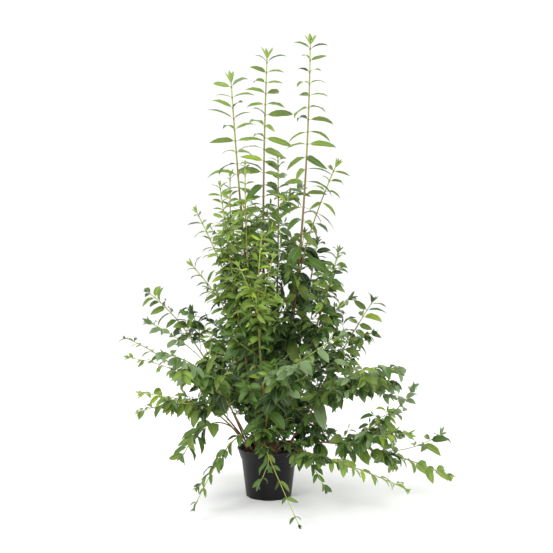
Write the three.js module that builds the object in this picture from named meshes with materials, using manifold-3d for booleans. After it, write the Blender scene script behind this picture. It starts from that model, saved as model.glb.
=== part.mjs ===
import * as THREE from "three";
import { mergeVertices } from "three/addons/utils/BufferGeometryUtils.js";
import Module from "manifold-3d";

const wasm = await Module();
wasm.setup();

// All sizes are in millimetres; the pot stands on z = 0 with its axis on x = y = 0.
const GAP = 0.3;

// The pot: a tapered plastic container with a flared collar at the rim.
const POT_HEIGHT = 188;
const POT_BASE_RADIUS = 86;
const POT_RIM_RADIUS = 120;
const POT_COLLAR_FOOT = 148;
const POT_COLLAR_STEP = 3.5;
const POT_BODY_TOP_RADIUS = 104;
const POT_WALL = 2.4;
const POT_FLOOR = 7;
const POT_LIP_HEIGHT = 5;
const POT_LIP_REACH = 2;
const POT_SEGMENTS = 36;
const POT_BASE_CHAMFER = 1.5;
const POT_STEP_DEPTH = 1;
const NOTCH_COUNT = 8;
const NOTCH_WIDTH = 22;
const NOTCH_HEIGHT = 5;
const NOTCH_DEPTH = 5;

// The compost fills the pot to just below the rim.
const SOIL_TOP = 170;

// The stem base: the short woody stool that the inner canes rise from.
const STOOL_HEIGHT = 36;
const STOOL_TOP_RADIUS = 42;
const STOOL_FOOT_RADIUS = 50;
const STOOL_SEGMENTS = 16;
const STOOL_LOBES = 5;
const STOOL_LOBE_SHARE = 0.05;
const STOOL_WAIST_RADIUS = 45;
const STOOL_WAIST_SHARE = 0.25;
const STOOL_SHOULDER_SHARE = 0.6;
const STOOL_TOP = SOIL_TOP + GAP + STOOL_HEIGHT;

// Canes and twigs.
const CANE_SIDES = 5;
const CANE_STEPS = 4;
const CANE_SUNK = 18;
const CANE_FLARE = 0.35;
const CANE_FLARE_LENGTH = 0.12;
const STEM_SIDES = 3;
const STEM_STEPS = 6;
const STEM_TAPER = 0.8;
const STEM_SAMPLES = 16;
const TWIG_STEPS = 1;
const TWIG_RADIUS_SHARE = 0.45;
const TWIG_TIP_RADIUS = 1;
const TWIG_TRIES = 4;
const TWIG_LEAN = 0.7;
const TWIG_TURN = 2.4;
const TWIG_SIDE_ANGLE = 1.5;
const TWIG_JITTER = 0.6;
const TWIG_LENGTH_ENDS = [1.15, 0.65];
const TWIG_LENGTH_SPREAD = [0.8, 1.2];
const TWIG_LIFT = 0.05;
const TWIG_PULL = 0.5;
const FORK_PULL = 0.4;
const FORK_RADIUS_SHARE = 0.6;
const FLOOR_CLEARANCE = 5;
const CLEARANCE = 0.6;
const SLIVER = 0.02;

// Leaves stand in opposite pairs along every stem. They are fewer than on the living shrub, so they are
// drawn broader than life, and longer too on the twigs.
const STEM_LEAF_SCALE = 1.25;
const TWIG_LEAF_SCALE = 1.75;
const FORK_LEAF = 78;
const TWIG_LEAF = 62;
const LEAF_BREADTH = 1.3;
const LEAF_THICKNESS_SHARE = 0.022;
const LEAF_WIDEST_AT = 0.42;
const LEAF_ROOT_SINK = 0.25;
const LEAF_LIGHT = new THREE.Vector3(0, -0.6, 1);
const LEAF_ROLL = 1.9;
const SLIM_TURN = [0.42, 0.62];
const LEAF_LEAN_SPREAD = 0.3;
const LEAF_DROOP_ENDS = [1.9, 0.3];
const LEAF_DROOP_SPREAD = [0.6, 1.4];
const LEAF_LENGTH_SPREAD = [0.85, 1.15];
const LEAF_LENGTH_FOOT = 1.08;
const LEAF_LENGTH_FALL = 0.15;
const LEAF_TIP_FALL = 0.3;
const LEAF_TIP_POWER = 8;
const LEAF_FACE_FORWARD = 0.3;
const LEAF_TRIES = 3;
const LEAF_RETRY_SHRINK = 0.15;
const LEVEL_DROOP = 1.15;
const TIP_PAIR_LEAN = 1.2;
const STEM_NODE_STEP = 84;
const TWIG_NODE_STEP = 76;
const PAIR_OFFSET = 0.6;
const PAIR_JITTER = 0.5;
const STEEP_PAIR_ANGLES = [0.92, 2.22];
const LEVEL_PAIR_ANGLES = [1.15, 1.75];
const LEAST_PAIRS = 2;
const STEEP_SHARE = 0.8;
const FIRST_SEED = 1000;
const SEED_STEP = 37;

// Each cane: foot is the ring radius and the bearing in degrees of the place it rises from, via the point
// half way along it and tip its end. Forks are the tips of its side shoots, which leave the stem at forkAt.
// Thick and thin are the stem's radius at its foot and tip, bare the share without leaves, slim the leaf's
// width to its length at the stem's foot and tip, and zone the shares of the stem that twigs leave.
const CANE_HABIT = {
  forks: [],
  forkAt: [0.34, 0.46, 0.24],
  thick: 3.8,
  thin: 1.5,
  bare: 0.17,
  leaf: 74,
  slim: [0.5, 0.42],
  lean: 0.5,
  droop: 1,
  twigs: 4,
  twig: 160,
  zone: [0.03, 0.55],
};

const CANES = [
  {
    name: "tall_left", tone: "deep", foot: [15, 200], via: [-83, -15, 860], tip: [-138, -30, 1560],
    thick: 6.5, thin: 2.4, bare: 0.11, leaf: 118, slim: [0.5, 0.21], lean: 0.55, droop: 1, twigs: 4,
    twig: 150, zone: [0.1, 0.58],
  },
  {
    name: "tall_middle", tone: "deep", foot: [15, 80], via: [-20, 20, 905], tip: [-6, 30, 1655],
    thick: 7, thin: 2.4, bare: 0.11, leaf: 118, slim: [0.5, 0.21], lean: 0.55, droop: 1, twigs: 4,
    twig: 150, zone: [0.1, 0.58],
  },
  {
    name: "tall_right", tone: "deep", foot: [14, 325], via: [113, 10, 880], tip: [155, 10, 1705],
    forks: [[252, 60, 1250]], thick: 7, thin: 2.4, bare: 0.11, leaf: 118, slim: [0.5, 0.21], lean: 0.55,
    droop: 1.15, twigs: 1, twig: 150, zone: [0.1, 0.5],
  },
  {
    name: "right_riser", tone: "deep", foot: [64, 36], via: [125, 60, 610], tip: [185, 90, 960],
    thick: 4.8, thin: 2.2, bare: 0.1, leaf: 80, droop: 0.7, twigs: 1, twig: 120, zone: [0.08, 0.8],
  },
  {
    name: "centre_riser", tone: "fresh", foot: [34, 98], via: [30, 50, 745], tip: [35, 70, 1285],
    thick: 4.8, thin: 2.2, bare: 0.1, leaf: 74, droop: 0.65, twigs: 4, twig: 150, zone: [0.1, 0.85],
  },
  {
    name: "left_riser", tone: "young", foot: [34, 235], via: [-70, -80, 760], tip: [-85, -110, 1260],
    thick: 4.8, thin: 2.2, bare: 0.08, leaf: 56, slim: [0.36, 0.27], droop: 0.6, twigs: 3, twig: 160,
    zone: [0.1, 0.85],
  },
  {
    name: "left_fan", tone: "young", foot: [34, 182], via: [-115, -45, 720], tip: [-180, -50, 1180],
    forks: [[-270, 20, 1080], [-145, 20, 1215], [-285, -10, 880]], thick: 4.8, thin: 2.2, bare: 0.09,
    leaf: 66, slim: [0.36, 0.27], droop: 0.6, twigs: 3, twig: 130, zone: [0.1, 0.8],
  },
  {
    name: "front_shoots", tone: "young", foot: [34, 272], via: [-35, -120, 650], tip: [-25, -160, 995],
    forks: [[15, -170, 920], [-105, -180, 890]], thick: 4.8, thin: 2.2, bare: 0.08, leaf: 60,
    slim: [0.36, 0.27], droop: 0.6, twig: 160, zone: [0.08, 0.75],
  },
  {
    name: "right_upper", tone: "deep", foot: [34, 327], via: [175, -30, 640], tip: [260, -40, 935],
    forks: [[295, -70, 760]], thick: 4.8, thin: 2.2, bare: 0.1, leaf: 76, slim: [0.48, 0.4], droop: 0.7,
    twigs: 4, twig: 110, zone: [0.08, 0.8],
  },
  {
    name: "back_left_riser", tone: "fresh", foot: [34, 138], via: [-75, 130, 620], tip: [-150, 250, 1040],
    thick: 4.8, thin: 1.8, bare: 0.11, leaf: 72, droop: 0.7, twig: 190, zone: [0.08, 0.8],
  },
  {
    name: "back_right_riser", tone: "fresh", foot: [34, 60], via: [75, 140, 590], tip: [140, 290, 985],
    thick: 4.8, thin: 1.8, bare: 0.11, leaf: 72, droop: 0.7, twig: 190, zone: [0.08, 0.8],
  },
  {
    name: "left_high", tone: "fresh", foot: [76, 172], via: [-262, 40, 548], tip: [-462, 60, 775],
    forks: [[-440, -60, 672], [-290, 40, 695]], forkAt: [0.2, 0.04], leaf: 70, droop: 0.75, twigs: 4,
    twig: 110, zone: [0.03, 0.6],
  },
  {
    name: "left_far", tone: "deep", foot: [76, 152], via: [-315, 130, 430], tip: [-570, 220, 575],
    forks: [[-542, 120, 512]], leaf: 52, slim: [0.44, 0.32], droop: 0.6, twigs: 0, twig: 130,
    zone: [0.03, 0.5],
  },
  {
    name: "left_spray", tone: "fresh", foot: [76, 222], via: [-205, -185, 470], tip: [-365, -300, 590],
    bare: 0.19, leaf: 86, slim: [0.54, 0.46], droop: 0.9, twigs: 3, twig: 120, zone: [0.2, 0.7],
  },
  {
    name: "left_low", tone: "young", foot: [76, 192], via: [-245, -60, 352], tip: [-482, -80, 338],
    forks: [[-492, 120, 370]], bare: 0.18, leaf: 74, droop: 0.95, twigs: 2, twig: 120, zone: [0.03, 0.5],
  },
  {
    name: "left_arch", tone: "fresh", foot: [62, 208], via: [-190, -110, 305], tip: [-312, -210, 203],
    thick: 3.4, bare: 0.52, leaf: 78, slim: [0.46, 0.42], lean: 0.5, droop: 0.85, twigs: 0, twig: 110,
    zone: [0.03, 0.5],
  },
  {
    name: "left_trail", tone: "fresh", foot: [66, 240], via: [-115, -180, 265], tip: [-262, -360, 52],
    forks: [[-250, -275, 105]], thick: 3.4, bare: 0.4, leaf: 50, slim: [0.46, 0.32], lean: 0.85,
    droop: 0.5, twigs: 0, twig: 100, zone: [0.03, 0.3],
  },
  {
    name: "right_high", tone: "deep", foot: [76, 18], via: [240, 60, 475], tip: [400, 90, 735],
    bare: 0.18, leaf: 80, slim: [0.48, 0.4], droop: 0.8, twigs: 4, twig: 140, zone: [0.12, 0.7],
  },
  {
    name: "right_mid", tone: "fresh", foot: [66, 330], via: [268, -122, 462], tip: [470, -188, 512],
    forks: [[440, -160, 418]], forkAt: [0.22], leaf: 96, slim: [0.48, 0.4], droop: 0.85, twigs: 4,
    twig: 150, zone: [0.15, 0.75],
  },
  {
    name: "right_arm", tone: "fresh", foot: [37, 352], via: [332, -106, 260], tip: [530, -138, 432],
    forks: [[510, -120, 262]], forkAt: [0.36], thick: 3.4, bare: 0.18, leaf: 90, slim: [0.48, 0.4],
    droop: 0.8, twigs: 2, twig: 120, zone: [0.1, 0.7],
  },
  {
    name: "right_far", tone: "fresh", foot: [36, 16], via: [365, -35, 190], tip: [676, -50, 88],
    forks: [[672, 130, 205]], forkAt: [0.43], thick: 3.4, leaf: 82, lean: 0.6, droop: 0.65, twigs: 2,
    twig: 110, zone: [0.1, 0.6],
  },
  {
    name: "right_trail", tone: "fresh", foot: [37, 300], via: [255, -260, 192], tip: [491, -330, 112],
    forks: [[205, -240, 90]], forkAt: [0.02], thick: 3.4, bare: 0.13, leaf: 56, slim: [0.48, 0.36],
    lean: 0.6, droop: 0.8, twigs: 1, twig: 70, zone: [0.15, 0.45],
  },
  {
    name: "front_trail", tone: "fresh", foot: [62, 278], via: [0, -240, 212], tip: [105, -520, 40],
    forks: [[-35, -230, 100]], thick: 3.4, bare: 0.25, leaf: 50, slim: [0.46, 0.34], lean: 0.7,
    droop: 0.5, twigs: 0, twig: 70, zone: [0.03, 0.3],
  },
  {
    name: "front_spray", tone: "fresh", foot: [72, 258], via: [15, -230, 445], tip: [100, -390, 560],
    forks: [[252, -240, 645]], bare: 0.19, leaf: 88, slim: [0.6, 0.5], droop: 0.8, twigs: 2, twig: 130,
    zone: [0.1, 0.7],
  },
  {
    name: "back_far_left", tone: "deep", foot: [76, 130], via: [-160, 260, 430], tip: [-270, 500, 570],
    leaf: 74, droop: 0.8, zone: [0.03, 0.65],
  },
  {
    name: "back_centre", tone: "deep", foot: [76, 104], via: [-40, 280, 430], tip: [-90, 560, 520],
    leaf: 74, droop: 0.8, zone: [0.03, 0.65],
  },
  {
    name: "back_right", tone: "fresh", foot: [76, 48], via: [160, 260, 410], tip: [270, 500, 555],
    leaf: 74, droop: 0.8, zone: [0.03, 0.65],
  },
  {
    name: "back_low", tone: "deep", foot: [62, 76], via: [60, 290, 275], tip: [130, 560, 130],
    thick: 3.4, bare: 0.2, leaf: 70, droop: 0.8, twigs: 1, twig: 130,
  },
];

const FINISHES = {
  pot: { color: 0x1c1d1f, roughness: 0.55 },
  soil: { color: 0x2d2019, roughness: 0.95 },
  bark: { color: 0x86603a, roughness: 0.8 },
  deep: { color: 0x476f33, roughness: 0.6 },
  fresh: { color: 0x5b8a3a, roughness: 0.6 },
  young: { color: 0x86b045, roughness: 0.6 },
};

const UP = new THREE.Vector3(0, 0, 1);
const BACK = new THREE.Vector3(0, 1, 0);
const HALF_TURN = Math.PI;
const QUARTER_TURN = Math.PI / 2;

function randomStream(seed) {
  let state = seed;
  return () => {
    state = (state * 1664525 + 1013904223) % 4294967296;
    return state / 4294967296;
  };
}

function between([low, high], share) {
  return low + (high - low) * share;
}

function solidFrom(geometry) {
  geometry.deleteAttribute("normal");
  geometry.deleteAttribute("uv");
  const merged = mergeVertices(geometry, 1e-4);
  const vertProperties = new Float32Array(merged.attributes.position.array);
  const triVerts = new Uint32Array(merged.index.array);
  return new wasm.Manifold(new wasm.Mesh({ numProp: 3, vertProperties, triVerts }));
}

function geometryFrom(solid) {
  const mesh = solid.getMesh();
  const geometry = new THREE.BufferGeometry();
  geometry.setAttribute("position", new THREE.Float32BufferAttribute(mesh.vertProperties, mesh.numProp));
  geometry.setIndex([...mesh.triVerts]);
  geometry.computeVertexNormals();
  return geometry;
}

function part(name, solid, finish) {
  const look = FINISHES[finish];
  const material = new THREE.MeshStandardMaterial({ ...look, metalness: 0 });
  const mesh = new THREE.Mesh(geometryFrom(solid), material);
  mesh.name = name;
  return mesh;
}

function lathe(profile, segments) {
  const points = profile.map(([radius, height]) => new THREE.Vector2(radius, height));
  const geometry = new THREE.LatheGeometry(points, segments);
  geometry.rotateX(QUARTER_TURN);
  return geometry;
}

function bodyRadius(height) {
  return POT_BASE_RADIUS + ((POT_BODY_TOP_RADIUS - POT_BASE_RADIUS) * height) / POT_COLLAR_FOOT;
}

function collarRadius(height) {
  const foot = POT_BODY_TOP_RADIUS + POT_COLLAR_STEP;
  const top = POT_RIM_RADIUS - POT_LIP_REACH;
  return foot + ((top - foot) * (height - POT_COLLAR_FOOT)) / (POT_HEIGHT - POT_LIP_HEIGHT - POT_COLLAR_FOOT);
}

function buildPot() {
  const lipFoot = POT_HEIGHT - POT_LIP_HEIGHT;
  const shell = lathe([
    [0, 0],
    [POT_BASE_RADIUS - POT_BASE_CHAMFER, 0],
    [bodyRadius(POT_BASE_CHAMFER), POT_BASE_CHAMFER],
    [bodyRadius(POT_COLLAR_FOOT), POT_COLLAR_FOOT],
    [collarRadius(POT_COLLAR_FOOT), POT_COLLAR_FOOT + POT_STEP_DEPTH],
    [collarRadius(lipFoot), lipFoot],
    [POT_RIM_RADIUS, lipFoot + POT_STEP_DEPTH],
    [POT_RIM_RADIUS, POT_HEIGHT],
    [collarRadius(lipFoot) - POT_WALL, POT_HEIGHT],
    [collarRadius(POT_COLLAR_FOOT) - POT_WALL, POT_COLLAR_FOOT + POT_STEP_DEPTH],
    [bodyRadius(POT_COLLAR_FOOT) - POT_WALL, POT_COLLAR_FOOT - POT_STEP_DEPTH],
    [bodyRadius(POT_FLOOR) - POT_WALL, POT_FLOOR],
    [0, POT_FLOOR],
  ], POT_SEGMENTS);
  let pot = solidFrom(shell);
  for (let i = 0; i < NOTCH_COUNT; i += 1) {
    const notch = new THREE.BoxGeometry(2 * NOTCH_DEPTH, NOTCH_WIDTH, 2 * NOTCH_HEIGHT);
    notch.translate(POT_BASE_RADIUS, 0, 0);
    notch.rotateZ(((i + 0.5) * 2 * HALF_TURN) / NOTCH_COUNT);
    pot = pot.subtract(solidFrom(notch));
  }
  return pot;
}

function buildSoil() {
  const inset = POT_WALL + 2 * GAP;
  return solidFrom(lathe([
    [0, POT_FLOOR + GAP],
    [bodyRadius(POT_FLOOR) - inset, POT_FLOOR + GAP],
    [bodyRadius(POT_COLLAR_FOOT) - inset, POT_COLLAR_FOOT - POT_STEP_DEPTH],
    [collarRadius(POT_COLLAR_FOOT) - inset, POT_COLLAR_FOOT + POT_STEP_DEPTH + GAP],
    [collarRadius(SOIL_TOP) - inset - POT_COLLAR_STEP, SOIL_TOP],
    [0, SOIL_TOP],
  ], POT_SEGMENTS));
}

function buildStool() {
  const bottom = SOIL_TOP + GAP;
  const geometry = lathe([
    [0, bottom],
    [STOOL_FOOT_RADIUS, bottom],
    [STOOL_WAIST_RADIUS, bottom + STOOL_HEIGHT * STOOL_WAIST_SHARE],
    [STOOL_TOP_RADIUS, bottom + STOOL_HEIGHT * STOOL_SHOULDER_SHARE],
    [STOOL_TOP_RADIUS, STOOL_TOP],
    [0, STOOL_TOP],
  ], STOOL_SEGMENTS);
  const position = geometry.attributes.position;
  for (let i = 0; i < position.count; i += 1) {
    const angle = Math.atan2(position.getY(i), position.getX(i));
    const swell = 1 + STOOL_LOBE_SHARE * Math.sin(STOOL_LOBES * angle);
    position.setX(i, position.getX(i) * swell);
    position.setY(i, position.getY(i) * swell);
  }
  return solidFrom(geometry);
}

function groundBelow(cane) {
  return cane.foot[0] < STOOL_TOP_RADIUS ? STOOL_TOP : SOIL_TOP;
}

function caneCurve(cane) {
  const bearing = THREE.MathUtils.degToRad(cane.foot[1]);
  const x = cane.foot[0] * Math.cos(bearing);
  const y = cane.foot[0] * Math.sin(bearing);
  const start = new THREE.Vector3(x, y, groundBelow(cane) + GAP);
  const end = new THREE.Vector3(...cane.tip);
  const control = new THREE.Vector3(...cane.via).multiplyScalar(2);
  control.addScaledVector(start, -0.5).addScaledVector(end, -0.5);
  return new THREE.QuadraticBezierCurve3(start, control, end);
}

function shootCurve(start, heading, end, pull) {
  const control = start.clone().addScaledVector(heading, pull * start.distanceTo(end));
  return new THREE.QuadraticBezierCurve3(start, control, end);
}

function isSteep(curve) {
  const chord = curve.v2.clone().sub(curve.v0).normalize();
  return Math.abs(chord.z) > STEEP_SHARE;
}

function headingAt(curve, t) {
  const early = curve.v1.clone().sub(curve.v0).multiplyScalar(1 - t);
  return curve.v2.clone().sub(curve.v1).multiplyScalar(t).add(early).normalize();
}

function frameAt(curve, t) {
  const tangent = headingAt(curve, t);
  const guide = isSteep(curve) ? BACK : UP;
  const side = guide.clone().addScaledVector(tangent, -guide.dot(tangent)).normalize();
  const normal = side.clone().cross(tangent);
  return { point: curve.getPoint(t), tangent, side, normal };
}

function rod(curve, span, radiusAt, sides, steps) {
  const geometry = new THREE.CylinderGeometry(1, 1, 1, sides, steps);
  const position = geometry.attributes.position;
  for (let i = 0; i < position.count; i += 1) {
    const along = position.getY(i) + 0.5;
    const frame = frameAt(curve, span[0] + along * (span[1] - span[0]));
    const radius = radiusAt(along);
    const point = frame.point.addScaledVector(frame.side, radius * position.getX(i));
    point.addScaledVector(frame.normal, radius * position.getZ(i));
    position.setXYZ(i, point.x, point.y, point.z);
  }
  return solidFrom(geometry);
}

function stemRadius(cane, t) {
  return cane.thick + (cane.thin - cane.thick) * Math.pow(t, STEM_TAPER);
}

function buildCane(cane, curve) {
  const radiusAt = (along) => {
    const flare = CANE_FLARE * Math.exp(-along / CANE_FLARE_LENGTH);
    return stemRadius(cane, along * cane.bare) * (1 + flare);
  };
  const sunk = CANE_SUNK / (2 * curve.v0.distanceTo(curve.v1));
  const limb = rod(curve, [-sunk, cane.bare], radiusAt, CANE_SIDES, CANE_STEPS);
  const size = 6 * CANE_SUNK;
  const below = new THREE.BoxGeometry(size, size, size);
  below.translate(curve.v0.x, curve.v0.y, groundBelow(cane) + GAP - size / 2);
  return limb.subtract(solidFrom(below));
}

function radial(frame, angle) {
  return frame.side.clone().multiplyScalar(Math.cos(angle)).addScaledVector(frame.normal, Math.sin(angle));
}

function leafSpot(frame, angle, shape, random) {
  const lean = shape.lean + LEAF_LEAN_SPREAD * (random() - 0.5);
  const along = radial(frame, angle).multiplyScalar(Math.cos(lean));
  along.addScaledVector(frame.tangent, Math.sin(lean));
  along.addScaledVector(UP, -shape.droop * between(LEAF_DROOP_SPREAD, random())).normalize();
  const lift = LEAF_LIGHT.clone().addScaledVector(frame.tangent, LEAF_FACE_FORWARD);
  const face = lift.addScaledVector(along, -lift.dot(along)).normalize();
  face.applyAxisAngle(along, LEAF_ROLL * (random() - 0.5));
  const across = along.clone().cross(face);
  const root = frame.point.clone().addScaledVector(along, -LEAF_ROOT_SINK);
  return { root, along, face, across, length: shape.length, width: shape.width };
}

function leafSolid(spot) {
  const geometry = new THREE.TetrahedronGeometry(1);
  const position = geometry.attributes.position;
  const fold = spot.length * LEAF_THICKNESS_SHARE;
  for (let i = 0; i < position.count; i += 1) {
    const [x, y, z] = [position.getX(i), position.getY(i), position.getZ(i)];
    const onRidge = z > 0;
    const ridgeReach = y > 0 ? spot.length : 0;
    const forward = onRidge ? ridgeReach : spot.length * LEAF_WIDEST_AT;
    const point = spot.root.clone().addScaledVector(spot.along, forward);
    point.addScaledVector(spot.across, onRidge ? 0 : (Math.sign(x) * spot.width) / 2);
    point.addScaledVector(spot.face, onRidge ? 0 : -fold);
    position.setXYZ(i, point.x, point.y, point.z);
  }
  return solidFrom(geometry);
}

function boxOf(solid) {
  const { min, max } = solid.boundingBox();
  return new THREE.Box3(new THREE.Vector3(...min), new THREE.Vector3(...max));
}

function asObstacle(owner, place, solid) {
  return { owner, place, solid, box: boxOf(solid) };
}

function isClear(solid, others) {
  const box = boxOf(solid).expandByScalar(CLEARANCE);
  if (box.min.z < FLOOR_CLEARANCE) return false;
  const near = others.filter((other) => other.box.intersectsBox(box));
  return near.every((other) => other.solid.minGap(solid, 2 * CLEARANCE) > CLEARANCE);
}

function axisPoint(shoot, share) {
  const step = Math.min(shoot.steps - 1, Math.floor(share * shoot.steps));
  const onCurve = (index) => shoot.curve.getPoint(shoot.from + ((1 - shoot.from) * index) / shoot.steps);
  return onCurve(step).lerp(onCurve(step + 1), share * shoot.steps - step);
}

function shootFrame(shoot, share) {
  const frame = frameAt(shoot.curve, shoot.from + (1 - shoot.from) * share);
  return { ...frame, point: axisPoint(shoot, share) };
}

function mainShoots(cane, curve) {
  const habit = { steps: STEM_STEPS, nodeStep: STEM_NODE_STEP, leafScale: STEM_LEAF_SCALE, isMain: true };
  const joint = cane.bare + GAP / curve.getLength();
  const shoots = [{ ...habit, curve, from: joint, leaf: cane.leaf, radius: (t) => stemRadius(cane, t) }];
  const forkLeaf = Math.min(cane.leaf, FORK_LEAF);
  cane.forks.forEach((tip, i) => {
    const place = between([cane.bare, 1], cane.forkAt[i]);
    const start = axisPoint(shoots[0], cane.forkAt[i]);
    const fork = shootCurve(start, headingAt(curve, place), new THREE.Vector3(...tip), FORK_PULL);
    const thick = Math.max(cane.thin, stemRadius(cane, place) * FORK_RADIUS_SHARE);
    const radius = (t) => thick + (cane.thin - thick) * t;
    shoots.push({ ...habit, curve: fork, from: 0, leaf: forkLeaf, radius });
  });
  return shoots;
}

function shootSolid(shoot) {
  const radiusAt = (along) => shoot.radius(shoot.from + along * (1 - shoot.from));
  return rod(shoot.curve, [shoot.from, 1], radiusAt, STEM_SIDES, shoot.steps);
}

function nearestOwner(point, growths) {
  let best = { owner: -1, distance: Infinity };
  growths.forEach((growth, owner) => {
    growth.axis.forEach((sample) => {
      const distance = sample.distanceToSquared(point);
      if (distance < best.distance) best = { owner, distance };
    });
  });
  return best.owner;
}

function sideAngle(curve, index, random) {
  const jitter = TWIG_JITTER * (random() - 0.5);
  if (isSteep(curve)) return index * TWIG_TURN + jitter;
  return (index % 2 ? 1 : -1) * (TWIG_SIDE_ANGLE + jitter);
}

function twigCandidate(growth, index, turn) {
  const { cane, random } = growth;
  const stem = growth.shoots[0];
  const share = (index + 0.5) / cane.twigs;
  const place = between(cane.zone, share);
  const frame = shootFrame(stem, place);
  const heading = radial(frame, sideAngle(stem.curve, index, random) + turn * QUARTER_TURN);
  heading.multiplyScalar(Math.cos(TWIG_LEAN)).addScaledVector(frame.tangent, Math.sin(TWIG_LEAN));
  const reach = cane.twig * between(TWIG_LENGTH_ENDS, share) * between(TWIG_LENGTH_SPREAD, random());
  const end = frame.point.clone().addScaledVector(heading, reach).addScaledVector(UP, TWIG_LIFT * reach);
  const twig = shootCurve(frame.point, heading, end, TWIG_PULL);
  const stemThere = stem.radius(between([cane.bare, 1], place));
  const thick = Math.max(TWIG_TIP_RADIUS, TWIG_RADIUS_SHARE * stemThere);
  const radius = (t) => thick + (TWIG_TIP_RADIUS - thick) * t;
  const habit = { steps: TWIG_STEPS, nodeStep: TWIG_NODE_STEP, leafScale: TWIG_LEAF_SCALE, isMain: false };
  return { ...habit, curve: twig, from: 0, leaf: Math.min(cane.leaf, TWIG_LEAF), radius };
}

function growTwigs(growth, owner, growths, obstacles) {
  for (let index = 0; index < growth.cane.twigs; index += 1) {
    for (let turn = 0; turn < TWIG_TRIES; turn += 1) {
      const twig = twigCandidate(growth, index, turn);
      const solid = shootSolid(twig);
      const kept = nearestOwner(twig.curve.getPoint(0.5), growths) === owner;
      const others = obstacles.filter((other) => other.owner !== owner);
      if (kept && isClear(solid, others)) {
        obstacles.push(asObstacle(owner, `shoot-${growth.shoots.length}`, solid));
        growth.shoots.push(twig);
        growth.solids.push(solid);
        break;
      }
    }
  }
}

function pairAngle(curve, pair, hand, random) {
  const jitter = PAIR_JITTER * (random() - 0.5);
  if (isSteep(curve)) return (hand - 1) * QUARTER_TURN + STEEP_PAIR_ANGLES[pair % 2] + 2 * jitter;
  return hand * (LEVEL_PAIR_ANGLES[pair % 2] + jitter);
}

function growLeaf(growth, owner, places, spot, growths, obstacles) {
  const inner = spot.root.clone().addScaledVector(spot.along, spot.length * LEAF_WIDEST_AT);
  if (nearestOwner(inner, growths) !== owner) return false;
  const own = (other) => other.owner === owner && places.includes(other.place);
  const others = obstacles.filter((other) => !own(other));
  const leaf = leafSolid(spot);
  if (!isClear(leaf, others)) return false;
  growth.solids.push(leaf);
  obstacles.push(asObstacle(owner, places[1], leaf));
  return true;
}

function leafShape(cane, shoot, share, isTip, random) {
  const fall = LEAF_LENGTH_FALL * share + LEAF_TIP_FALL * Math.pow(share, LEAF_TIP_POWER);
  const spread = between(LEAF_LENGTH_SPREAD, random());
  const length = shoot.leaf * shoot.leafScale * (LEAF_LENGTH_FOOT - fall) * spread;
  const narrowing = THREE.MathUtils.smoothstep(share, ...SLIM_TURN);
  const width = length * LEAF_BREADTH * between(cane.slim, narrowing);
  if (isTip) return { length, width, lean: TIP_PAIR_LEAN, droop: 0 };
  const hang = isSteep(shoot.curve) ? 1 : LEVEL_DROOP;
  return { length, width, lean: cane.lean, droop: cane.droop * hang * between(LEAF_DROOP_ENDS, share) };
}

function shrunk(shape, tries) {
  const share = 1 - LEAF_RETRY_SHRINK * tries;
  return { ...shape, length: shape.length * share, width: shape.width * share };
}

function growLeaves(growth, owner, growths, obstacles) {
  const { cane, random } = growth;
  growth.shoots.forEach((shoot, order) => {
    const run = shoot.curve.getLength() * (1 - shoot.from);
    const pairs = Math.max(LEAST_PAIRS, Math.round(run / shoot.nodeStep));
    for (let pair = 0; pair < pairs; pair += 1) {
      const share = (pair + PAIR_OFFSET) / pairs;
      const frame = shootFrame(shoot, share);
      const places = [`shoot-${order}`, `leaf-${order}-${pair}`];
      const isTip = shoot.isMain && pair === pairs - 1;
      const shape = leafShape(cane, shoot, share, isTip, random);
      [1, -1].forEach((hand) => {
        for (let tries = 0; tries < LEAF_TRIES; tries += 1) {
          const angle = pairAngle(shoot.curve, pair, hand, random);
          const spot = leafSpot(frame, angle, shrunk(shape, tries), random);
          if (growLeaf(growth, owner, places, spot, growths, obstacles)) break;
        }
      });
    }
  });
}

function startGrowth(cane, index) {
  const curve = caneCurve(cane);
  const shoots = mainShoots(cane, curve);
  const solids = shoots.map(shootSolid);
  const firstLeafy = (shoot) => Math.ceil(shoot.from * STEM_SAMPLES) + 1;
  const leafy = (shoot) => shoot.curve.getPoints(STEM_SAMPLES).slice(firstLeafy(shoot));
  const random = randomStream(FIRST_SEED + SEED_STEP * index);
  return { cane, curve, shoots, solids, axis: shoots.flatMap(leafy), random };
}

function fuse(solids) {
  const bodies = wasm.Manifold.union(solids).simplify(SLIVER).decompose();
  return bodies.reduce((best, body) => (body.volume() > best.volume() ? body : best));
}

const plant = new THREE.Group();
plant.name = "potted_shrub";
const container = new THREE.Group();
container.name = "container";
const shrub = new THREE.Group();
shrub.name = "shrub";
plant.add(container, shrub);

const pot = buildPot();
const soil = buildSoil();
const stool = buildStool();
container.add(part("pot", pot, "pot"));
container.add(part("soil", soil, "soil"));
shrub.add(part("stem_base", stool, "bark"));

const growths = CANES.map((cane, index) => startGrowth({ ...CANE_HABIT, ...cane }, index));
const limbs = growths.map((growth) => buildCane(growth.cane, growth.curve));
const obstacles = [pot, soil, stool, ...limbs].map((solid) => asObstacle(-1, "limb", solid));
growths.forEach((growth, owner) => {
  growth.solids.forEach((solid, order) => obstacles.push(asObstacle(owner, `shoot-${order}`, solid)));
});
growths.forEach((growth, owner) => growTwigs(growth, owner, growths, obstacles));
growths.forEach((growth, owner) => growLeaves(growth, owner, growths, obstacles));

growths.forEach((growth, index) => {
  shrub.add(part(`cane_${growth.cane.name}`, limbs[index], "bark"));
  shrub.add(part(`leaves_${growth.cane.name}`, fuse(growth.solids), growth.cane.tone));
});

export default plant;
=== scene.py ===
"""A potted forsythia shrub in leaf: nursery pot, compost, woody stem base, canes, twigs and leaves."""
import logging
import math
import random
from dataclasses import dataclass, field
from enum import Enum, IntEnum
from functools import partial
from typing import NamedTuple

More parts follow.
